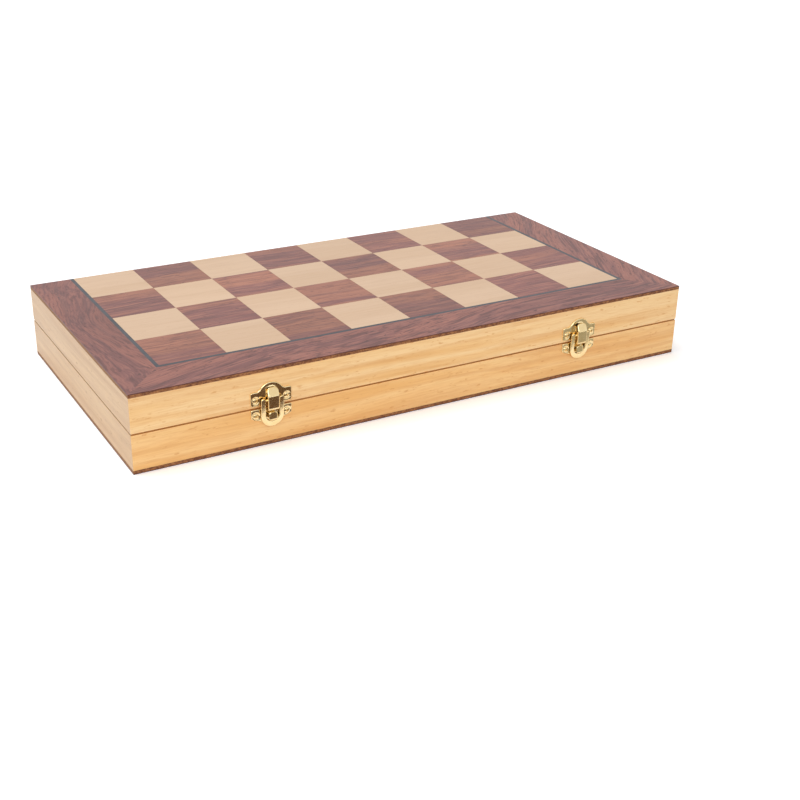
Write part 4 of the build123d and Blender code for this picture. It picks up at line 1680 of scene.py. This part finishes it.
def build_screws(latch: Latch, hinge: Hinge, brass: Material) -> None:
    """Make each half's screws, one piece for its latches and one for its hinges.

    Args:
        latch: Places of the latch screws.
        hinge: Places of the hinge screws.
        brass: The plating.
    """
    latch_v = latch.plate_thickness - LATCH_SCREW.sunk
    for half in Half:
        level = latch.upper_screw_w if half is Half.UPPER else latch.lower_screw_w
        screws = {"latch": [], "hinge": []}
        for hand in Hand:
            for side in (-1, 1):
                turn = cross_turn(half, hand, side)
                place = latch.front(hand).moved(side * latch.screw_u, level, latch_v)
                screws["latch"].append(LATCH_SCREW.surface(turn).placed(place))
                x = hand.side * hinge.x_distance + side * hinge.screw_spacing / 2
                place = half.place(x, hinge.axis_y - hinge.screw_setback, CASE.half_depth - HINGE_SCREW.sunk)
                screws["hinge"].append(HINGE_SCREW.surface(turn * 1.3).placed(place))
        for fitting, surfaces in screws.items():
            piece = make_piece(f"{half.label}_{fitting}_screw_set", surfaces, [brass])
            seat(piece, half.body, "brass", f"{half.label}_{fitting}_screws")


# A plate's plan stands in a man's x and z.
UPRIGHT = Place(x=(1.0, 0.0, 0.0), y=(0.0, 0.0, 1.0), z=(0.0, -1.0, 0.0))


@dataclass(frozen=True)
class Chessman:
    """A turned chessman: its lathe profile, and the sizes by which it lies in its pocket.

    The profile's points are (radius, height) or (radius, height, bulge), from the base up. The name
    is the one that its node has.
    """

    name: str
    height: float
    base_radius: float
    foot_height: float
    profile: Points
    rest_radii: tuple[tuple[float, float], ...]
    body_radius: float
    base_height: float = 3.5
    resting_gap: ClassVar[float] = 0.2
    disc_margin: ClassVar[float] = 1.0
    disc_levels: ClassVar[tuple[float, float]] = (0.02, 0.4)
    steps: ClassVar[int] = 56

    @property
    def tilt(self) -> float:
        """Angle at which the man lies on its base's rim and its widest point."""
        return math.atan(min((self.base_radius - r) / (z - self.base_height) for r, z in self.rest_radii))

    def lying(self, half: Half, x: float, base_y: float, toward: float) -> Place:
        """The man's place in a tray: its own z points along it, towards the middle of the tray.

        Args:
            half: The half of the case.
            x: x of the man's axis.
            base_y: y of its base.
            toward: Sign along Y of the way from its base to its top.

        Returns:
            The man's own frame in the case's.
        """
        rise, run = math.sin(self.tilt), math.cos(self.tilt)
        lift = self.base_height * rise + self.base_radius * run + self.resting_gap
        y, z = (0.0, -half.inward * rise, -toward * run), (0.0, toward * run, -half.inward * rise)
        return Place((x, base_y, half.level(CASE.foam_depth + lift)), y=y, z=z)

    def surfaces(self) -> list[Surface]:
        """The turned body and the felt disc under its base.

        Returns:
            The body, the disc and what is carved, in the man's own frame.
        """
        r, (low, high) = self.base_radius - self.disc_margin, self.disc_levels
        disc = np.array([(0, low), (r, low), (r, high), (0, high)])
        body = revolved(arcs(self.profile), self.steps)
        return [body, revolved(disc, self.steps, finish=1)] + self.carving()

    def carving(self) -> list[Surface]:
        """What is carved or set on top of the turned body; a plain man has nothing."""
        return []


@dataclass(frozen=True)
class King(Chessman):
    """The king, with a cross pattee on its crown."""

    cross_height: ClassVar[float] = 7.5
    cross: ClassVar[Points] = (
        (0, 0.0), (1.2, 0.0), (0.6, 1.6), (0.55, 3.4), (0.45, 3.9), (2.3, 3.2), (2.6, 3.4), (2.6, 5.2),
        (2.3, 5.4), (0.45, 4.7), (0.55, 5.2), (1.1, 7.0), (0.9, 7.4), (0, 7.4),
    )

    def carving(self) -> list[Surface]:
        """The cross: a small plate with flared arms, rounded on both faces.

        Returns:
            The cross in the man's own frame.
        """
        right = np.array(self.cross) + (0, self.height - self.cross_height)
        outline = even_loop(mirrored_loop(right), spacing=0.35)
        plate = Relief(outline, thickness=0.95, rim=0.3, spacing=0.6, both_sides=True, rim_steps=3)
        return [plate.surface().placed(UPRIGHT)]


@dataclass(frozen=True)
class Queen(Chessman):
    """The queen, with a coronet of points and a ball."""

    beads: ClassVar[int] = 9
    coronet_radius: ClassVar[float] = 6.6
    coronet_drop: ClassVar[float] = 4.6

    def carving(self) -> list[Surface]:
        """The coronet's points, small rounded beads set round its rim.

        Returns:
            The beads in the man's own frame.
        """
        bead = revolved(arcs([(0, -1.0, 1.0), (0, 1.0)], 10), 16)
        z = self.height - self.coronet_drop
        return [bead.placed(Place((x, y, z))) for x, y in circle(self.coronet_radius, self.beads).tolist()]


@dataclass(frozen=True)
class Knight(Chessman):
    """The knight: a carved horse's head on a turned foot. A hill has a height, a middle and a reach."""

    head_base: float = 14.0
    head_reach: float = 12.0
    head_height: float = 40.0
    hills: ClassVar[dict[str, tuple[float, tuple[float, float], float]]] = {
        "jaw": (1.3, (4.2, 34.6), 3.4),
        "eye": (0.55, (4.6, 42.2), 0.95),
        "socket": (-0.35, (4.6, 42.2), 1.9),
        "nostril": (-0.55, (10.4, 33.6), 0.8),
    }

    def outline(self) -> np.ndarray:
        """Side view of the head, anticlockwise: chest, throat, muzzle, brow, ear, mane.

        Returns:
            Points (x, z) in the man's own frame, (n, 2).
        """
        shares = arcs([
            (-0.56, 0.0), (0.58, 0.0, 0.12), (0.5, 0.2, -0.25), (0.27, 0.385, -0.3), (0.5, 0.42, 0.15),
            (0.8, 0.385, 0.35), (0.99, 0.43, 0.4), (0.98, 0.52, 0.12), (0.70, 0.68, -0.15), (0.45, 0.82),
            (0.40, 0.90, 0.1), (0.28, 1.0, 0.15), (0.12, 0.90, 0.1), (-0.3, 0.82, 0.22), (-0.62, 0.5, 0.12),
            (-0.56, 0.0),
        ], 8)[:-1]
        return shares * (self.head_reach, self.head_height) + (0, self.head_base)

    def relief(self, points: np.ndarray) -> np.ndarray:
        """Carving on the cheek side: the hills, and the neck, muzzle, mouth and the mane's locks.

        Args:
            points: Points (x, z) of the head, (n, 2).

        Returns:
            A height for each point, (n,).
        """
        x, z = points[:, 0] / self.head_reach, (points[:, 1] - self.head_base) / self.head_height
        hills = sum(height * hill(points, middle, reach) for height, middle, reach in self.hills.values())
        neck = 1.6 * (1 - smooth(z / 0.45))
        muzzle = -0.8 * smooth((x - 0.55) / 0.4)
        off_lips = z - 0.405 - 0.06 * (1 - x)
        mouth = -0.4 * np.exp(-((off_lips / 0.012) ** 2)) * smooth((x - 0.6) / 0.1)
        lock = np.sin(points[:, 1] * 1.35 + points[:, 0] * 0.9)
        mane = smooth((0.02 - x + 0.25 * smooth((z - 0.6) / 0.3)) / 0.12)
        return hills + neck + muzzle + mouth + mane * (0.45 + 0.4 * lock)

    def carving(self) -> list[Surface]:
        """The head: both faces carved alike, rounded over at the outline.

        Returns:
            The head in the man's own frame.
        """
        outline = even_loop(self.outline(), spacing=0.7)
        plate = Relief(
            outline, thickness=3.1, rim=2.4, spacing=0.62, height=self.relief, both_sides=True, fade=2.4,
            rim_steps=6,
        )
        return [plate.surface().placed(UPRIGHT)]


def foot(base: float, foot_radius: float, foot_height: float) -> Points:
    """Profile of a man's weighted foot: chamfered base, bead, cove and a second bead.

    Args:
        base: Radius of the base.
        foot_radius: Radius where the foot ends.
        foot_height: Height where it ends.

    Returns:
        Points with bulges, from the axis to the end of the foot.
    """
    low = 4.6
    span = foot_height - low
    return (
        (0.0, 0.3), (base - 0.7, 0.3, 0.3), (base, 1.0), (base, 2.9, 0.35), (base - 0.8, 3.7),
        (base - 1.5, 3.9, 0.6), (base - 1.9, 4.9, -0.35), (foot_radius + 1.0, low + span * 0.72),
        (foot_radius + 1.1, low + span * 0.78, 0.7), (foot_radius + 0.5, foot_height, -0.16),
    )


KING = King(
    "king", height=74.0, base_radius=14.0, foot_height=12.0, body_radius=8.2,
    rest_radii=((8.2, 54.5), (7.4, 65.5), (8.0, 12.01)),
    profile=foot(14.0, 8.0, 12.0) + (
        (4.5, 44.0), (4.4, 49.0, 0.3), (6.2, 50.6), (6.4, 51.2, 0.8), (6.4, 52.4), (7.6, 53.2),
        (8.2, 54.0, 0.6), (7.8, 55.2), (5.4, 55.8, 0.5), (5.2, 57.0, -0.12), (7.4, 65.0, 0.5),
        (6.8, 66.0, 0.12), (1.6, 67.6, 0.6), (1.4, 68.6), (0.0, 68.8),
    ),
)
QUEEN = Queen(
    "queen", height=66.0, base_radius=13.5, foot_height=11.5, body_radius=7.8,
    rest_radii=((7.8, 50.0), (7.8, 61.0)),
    profile=foot(13.5, 7.6, 11.5) + (
        (4.3, 41.0), (4.2, 45.4, 0.3), (5.8, 46.8), (6.0, 47.4, 0.8), (6.0, 48.4), (7.2, 49.2),
        (7.8, 50.0, 0.6), (7.4, 51.0), (5.0, 51.6, 0.5), (4.7, 52.8, -0.16), (7.6, 61.0),
        (6.6, 61.2, -0.2), (3.0, 62.4), (1.8, 62.6, 0.9), (0.0, 66.0),
    ),
)
BISHOP = Chessman(
    "bishops", height=58.0, base_radius=12.0, foot_height=10.5, body_radius=6.8,
    rest_radii=((6.8, 41.0), (5.8, 48.5)),
    profile=foot(12.0, 6.8, 10.5) + (
        (3.9, 34.0), (3.8, 37.6, 0.3), (5.0, 38.8), (5.2, 39.4, 0.8), (5.0, 40.2), (6.4, 40.6),
        (6.8, 41.2, 0.6), (6.4, 42.2), (4.4, 42.6, 0.4), (4.2, 43.6, 0.24), (5.8, 48.6, 0.3),
        (1.6, 55.0), (1.5, 55.4, 0.9), (0.0, 58.0),
    ),
)
ROOK = Chessman(
    "rooks", height=46.0, base_radius=12.0, foot_height=10.0, body_radius=8.4,
    rest_radii=((8.4, 36.5), (8.4, 46.0)),
    profile=foot(12.0, 7.2, 10.0) + (
        (5.8, 28.0), (5.6, 32.0, -0.25), (7.6, 35.6), (8.0, 36.0, 0.6), (8.4, 37.2), (8.4, 45.6, 0.4),
        (8.0, 46.0), (5.6, 46.0, 0.3), (5.4, 45.6), (5.4, 43.0), (0.0, 42.8),
    ),
)
PAWN = Chessman(
    "pawns", height=40.0, base_radius=10.0, foot_height=8.5, body_radius=5.8,
    rest_radii=((5.8, 32.0), (5.2, 37.0)),
    profile=foot(10.0, 5.4, 8.5) + (
        (3.3, 23.6), (3.2, 26.0, 0.3), (4.6, 27.2), (5.4, 27.8, 0.7), (5.2, 29.2), (3.4, 29.9),
        (3.3, 30.4, 0.95), (0.0, 40.0),
    ),
)
KNIGHT = Knight(
    "knights", height=54.0, base_radius=12.0, foot_height=9.5, body_radius=12.0,
    rest_radii=((7.6, 14.0), (4.5, 54.0)),
    profile=foot(12.0, 8.6, 9.5) + (
        (8.4, 10.4, 0.6), (8.2, 11.8), (7.4, 12.2, -0.2), (7.2, 14.6), (0.0, 15.0),
    ),
)


@dataclass(frozen=True)
class Trays:
    """Felt linings, foam trays and the chessmen that lie in them."""

    pitch: float = 46.0
    officer_margin: float = 4.5
    pawn_offset: float = 28.0
    pocket_gap: float = 0.5
    swell: float = 0.1
    foam_sharp_degrees: float = 50.0
    felt_thickness: float = 0.6
    nap: float = 0.05
    felt_counts: tuple[int, int] = (187, 91)
    officers: tuple[Chessman, ...] = (ROOK, KNIGHT, BISHOP, QUEEN, KING, BISHOP, KNIGHT, ROOK)

    def rows(self, half: Half) -> list[tuple[Chessman, float, float, float]]:
        """Each man of a half with the x of its axis, the y of its base and its direction.

        Args:
            half: The half of the case.

        Returns:
            (man, x, base y, direction) for each man.
        """
        side = half.officers_side
        officer_y = side * (CASE.width / 2 - CASE.rail_thickness - self.officer_margin)
        listed = []
        for index, man in enumerate(self.officers):
            x = (index - 3.5) * self.pitch
            listed += [(man, x, officer_y, -side), (PAWN, x, -side * self.pawn_offset, -side)]
        return listed

    def pocket(self, man: Chessman, x: float, base_y: float, toward: float) -> np.ndarray:
        """Outline of a man's pocket, anticlockwise: base, shoulders and body.

        Args:
            man: The man that lies in it.
            x: x of the man's axis.
            base_y: y of its base.
            toward: Sign along Y of the way from its base to its top.

        Returns:
            Points of the outline, (n, 2).
        """
        rim, body = man.base_radius + self.pocket_gap, man.body_radius + self.pocket_gap
        swing = man.base_radius * math.sin(man.tilt) + self.pocket_gap
        levels = (-swing, man.base_height + swing, man.foot_height + swing, man.height + self.pocket_gap)
        start, step, foot_end, end = (base_y + toward * level for level in levels)
        corners = np.array([
            (x - rim, start), (x + rim, start), (x + rim, step), (x + body, foot_end),
            (x + body, end), (x - body, end), (x - body, foot_end), (x - rim, step),
        ])
        return even_loop(corners if toward > 0 else corners[::-1], spacing=1.6)

    def foam(self, half: Half, material: Material) -> None:
        """Make a tray: a foam slab with rounded edges, sagging a little between its pockets.

        Args:
            half: The half of the case.
            material: The foam.
        """
        reach_x, reach_y = CASE.tray_reach
        outline = even_loop(rectangle((-reach_x, -reach_y), (reach_x, reach_y)), spacing=3.0)
        holes = tuple(self.pocket(*row) for row in self.rows(half))

        def height(points: np.ndarray) -> np.ndarray:
            """A slow unevenness of a fifth of a millimetre, downwards."""
            x, y = points.T
            return self.swell * np.sin(x / 17.0) * np.cos(y / 13.0) - self.swell

        slab = Relief(
            outline, CASE.foam_thickness, rim=0.9, spacing=4.5, holes=holes, height=height, fade=3.0,
            rim_steps=3,
        )
        surface = slab.surface().placed(half.place(0.0, 0.0, CASE.foam_depth))
        tray = make_piece(f"{half.label}_foam_insert", [surface], [material], self.foam_sharp_degrees)
        seat(tray, half.body, "foam", f"{half.label}_foam_tray")

    def lining(self, half: Half, material: Material) -> None:
        """Lay a sheet of felt: a grid whose nap rises and falls a little, given its thickness.

        Args:
            half: The half of the case.
            material: The felt.
        """
        reach_x, reach_y = CASE.tray_reach
        count_x, count_y = self.felt_counts
        x, y = np.linspace(-reach_x, reach_x, count_x), np.linspace(-reach_y, reach_y, count_y)
        grid_x, grid_y = np.meshgrid(x, y)
        middle = CASE.lining_depth + CASE.lining_thickness / 2
        ripple = self.nap * np.sin(grid_x / 5.3) * np.sin(grid_y / 4.7)
        points = np.stack([grid_x, grid_y, half.level(middle) + ripple], axis=-1).reshape(-1, 3)
        index = np.arange(len(points)).reshape(grid_x.shape)
        quads = np.stack([index[:-1, :-1], index[:-1, 1:], index[1:, 1:], index[1:, :-1]], axis=-1)
        surface = Surface(points, quads.reshape(-1, 4).tolist())
        sheet = make_piece(f"{half.label}_felt_sheet", [surface], [material])
        thick = sheet.modifiers.new("felt_thickness", "SOLIDIFY")
        thick.thickness = self.felt_thickness * MM
        thick.offset = 0.0
        seat(sheet, half.body, "felt", f"{half.label}_felt_lining")

    def men(self, half: Half, wood: Material, felt: Material) -> None:
        """Make a half's chessmen, one piece for each kind.

        Args:
            half: The half of the case.
            wood: The wood of the half's men.
            felt: The felt under their bases.
        """
        for kind in (KING, QUEEN, BISHOP, KNIGHT, ROOK, PAWN):
            shapes = kind.surfaces()
            surfaces = [
                shape.placed(man.lying(half, x, base_y, toward))
                for man, x, base_y, toward in self.rows(half)
                if man is kind
                for shape in shapes
            ]
            piece = make_piece(f"{half.men}_turned_{kind.name}", surfaces, [wood, felt])
            seat(piece, half.body, f"{half.men}_wood", f"{half.men}_{kind.name}")


@dataclass(frozen=True)
class Studio:
    """A pale floor, a soft sky, soft lamps, two cards for the brass to reflect, and the camera."""

    camera_place: Triple = (-0.37926, -0.70384, 0.33402)
    azimuth: float = 30.394
    elevation: float = -24.803
    roll: float = -1.268
    lens: float = 56.47
    sensor_width: float = 36.0
    aim: Triple = (0.0, 0.0, 0.03)
    floor_reach: float = 9.0
    card_height: float = 0.001

    def camera(self) -> None:
        """Set the camera where the photograph was taken from."""
        az, el, roll = (math.radians(v) for v in (self.azimuth, self.elevation, self.roll))
        forward = Vector((math.sin(az) * math.cos(el), math.cos(az) * math.cos(el), math.sin(el)))
        level = forward.cross(Vector((0, 0, 1))).normalized()
        down = forward.cross(level)
        right = level * math.cos(roll) + down * math.sin(roll)
        up = right.cross(forward)
        data = bpy.data.cameras.new("camera")
        data.lens, data.sensor_width = self.lens, self.sensor_width
        camera = linked("camera", data)
        turn = Matrix((right, up, -forward)).transposed().to_4x4()
        camera.matrix_world = Matrix.Translation(self.camera_place) @ turn
        bpy.context.scene.camera = camera

    @staticmethod
    def sheet(name: str, corners: np.ndarray, height: float, paper: Material) -> Piece:
        """A level four-cornered sheet.

        Args:
            name: The sheet's name.
            corners: Its corners, (4, 2).
            height: Its height.
            paper: Its material.

        Returns:
            The object.
        """
        mesh = bpy.data.meshes.new(name)
        mesh.from_pydata([(x, y, height) for x, y in corners.tolist()], [], [(0, 1, 2, 3)])
        mesh.materials.append(paper)
        return linked(name, mesh)

    def floor(self) -> None:
        """Lay a wide white floor just under the case. To the camera it is white; it keeps the shadow."""
        r = Recipe("floor_paper")
        seen = r.seen()
        far = r.rise(r.length(r.coordinates), 0.5, 1.0)
        r.finish(
            base_color=r.mix(seen, (0.8, 0.8, 0.8), (1.25, 1.25, 1.25)),
            roughness=1.0,
            specular_IOR_level=0.0,
            emission_color=(1.0, 1.0, 1.0),
            emission_strength=r.math("MULTIPLY", far, seen),
        )
        reach = self.floor_reach
        self.sheet("floor", rectangle((-reach, -reach), (reach, reach)), 0.0, r.material)

    def sky(self) -> None:
        """A soft cool sky, which the camera and reflections see white."""
        world = bpy.data.worlds.new("studio")
        bpy.context.scene.world = world
        world.use_nodes = True
        nodes = Nodes(world.node_tree)
        sky = nodes.mix(nodes.seen(), (0.577, 0.595, 0.62), (1.0, 1.0, 1.0))
        nodes.join(sky, world.node_tree.nodes["Background"].inputs["Color"])

    def card(self, name: str, corners: np.ndarray, colour: Colour) -> None:
        """Lay a matt card just over the floor, which only reflections see.

        Args:
            name: The card's name.
            corners: Its corners, (4, 2).
            colour: Its colour.
        """
        r = Recipe(f"{name}_paper")
        r.finish(base_color=colour, roughness=1.0)
        card = self.sheet(name, corners, self.card_height, r.material)
        card.visible_camera = card.visible_diffuse = card.visible_shadow = card.visible_transmission = False

    def lamp(self, name: str, place: Triple, size: tuple[float, float], power: float) -> None:
        """Hang a soft lamp that faces the case.

        Args:
            name: The lamp's name.
            place: Its middle.
            size: Its width and height.
            power: Its power in watts.
        """
        data = bpy.data.lights.new(name, "AREA")
        data.shape = "RECTANGLE"
        data.size, data.size_y = size
        data.energy = power
        turn = (Vector(place) - Vector(self.aim)).to_track_quat("Z", "Y").to_matrix().to_4x4()
        linked(name, data).matrix_world = Matrix.Translation(place) @ turn

    def build(self) -> None:
        """Set the whole studio."""
        self.camera()
        self.floor()
        self.sky()
        self.lamp("key_lamp", (-0.8, -1.5, 1.0), size=(1.0, 0.8), power=12.0)
        self.lamp("top_lamp", (-0.4, 0.5, 1.7), size=(1.6, 1.2), power=14.0)
        self.lamp("left_lamp", (-1.7, -0.3, 0.8), size=(0.8, 0.8), power=1.0)
        self.card("dark_card", rectangle((-0.30, -0.45), (0.05, -0.134)), colour=(0.10, 0.052, 0.024))
        self.card("grey_card", rectangle((0.05, -0.60), (0.60, -0.133)), colour=(0.42, 0.40, 0.34))
        bpy.context.scene.view_settings.view_transform = "Standard"


def main() -> None:
    """Load the frame, dress it, build every modelled piece and set the studio."""
    logging.basicConfig(level=logging.INFO, format="%(name)s: %(message)s")
    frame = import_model()
    finishes = Finishes()
    dress_boards(frame["nodes"], finishes)
    latch, hinge = Latch(), Hinge()
    for hand in Hand:
        latch.build(hand, finishes.brass)
        hinge.build(hand, finishes.brass)
    build_screws(latch, hinge, finishes.brass)
    trays = Trays()
    for half in Half:
        trays.lining(half, finishes.felt)
        trays.foam(half, finishes.foam)
        trays.men(half, finishes.wood[half], finishes.felt)
    Studio().build()


if __name__ == "__main__":
    main()
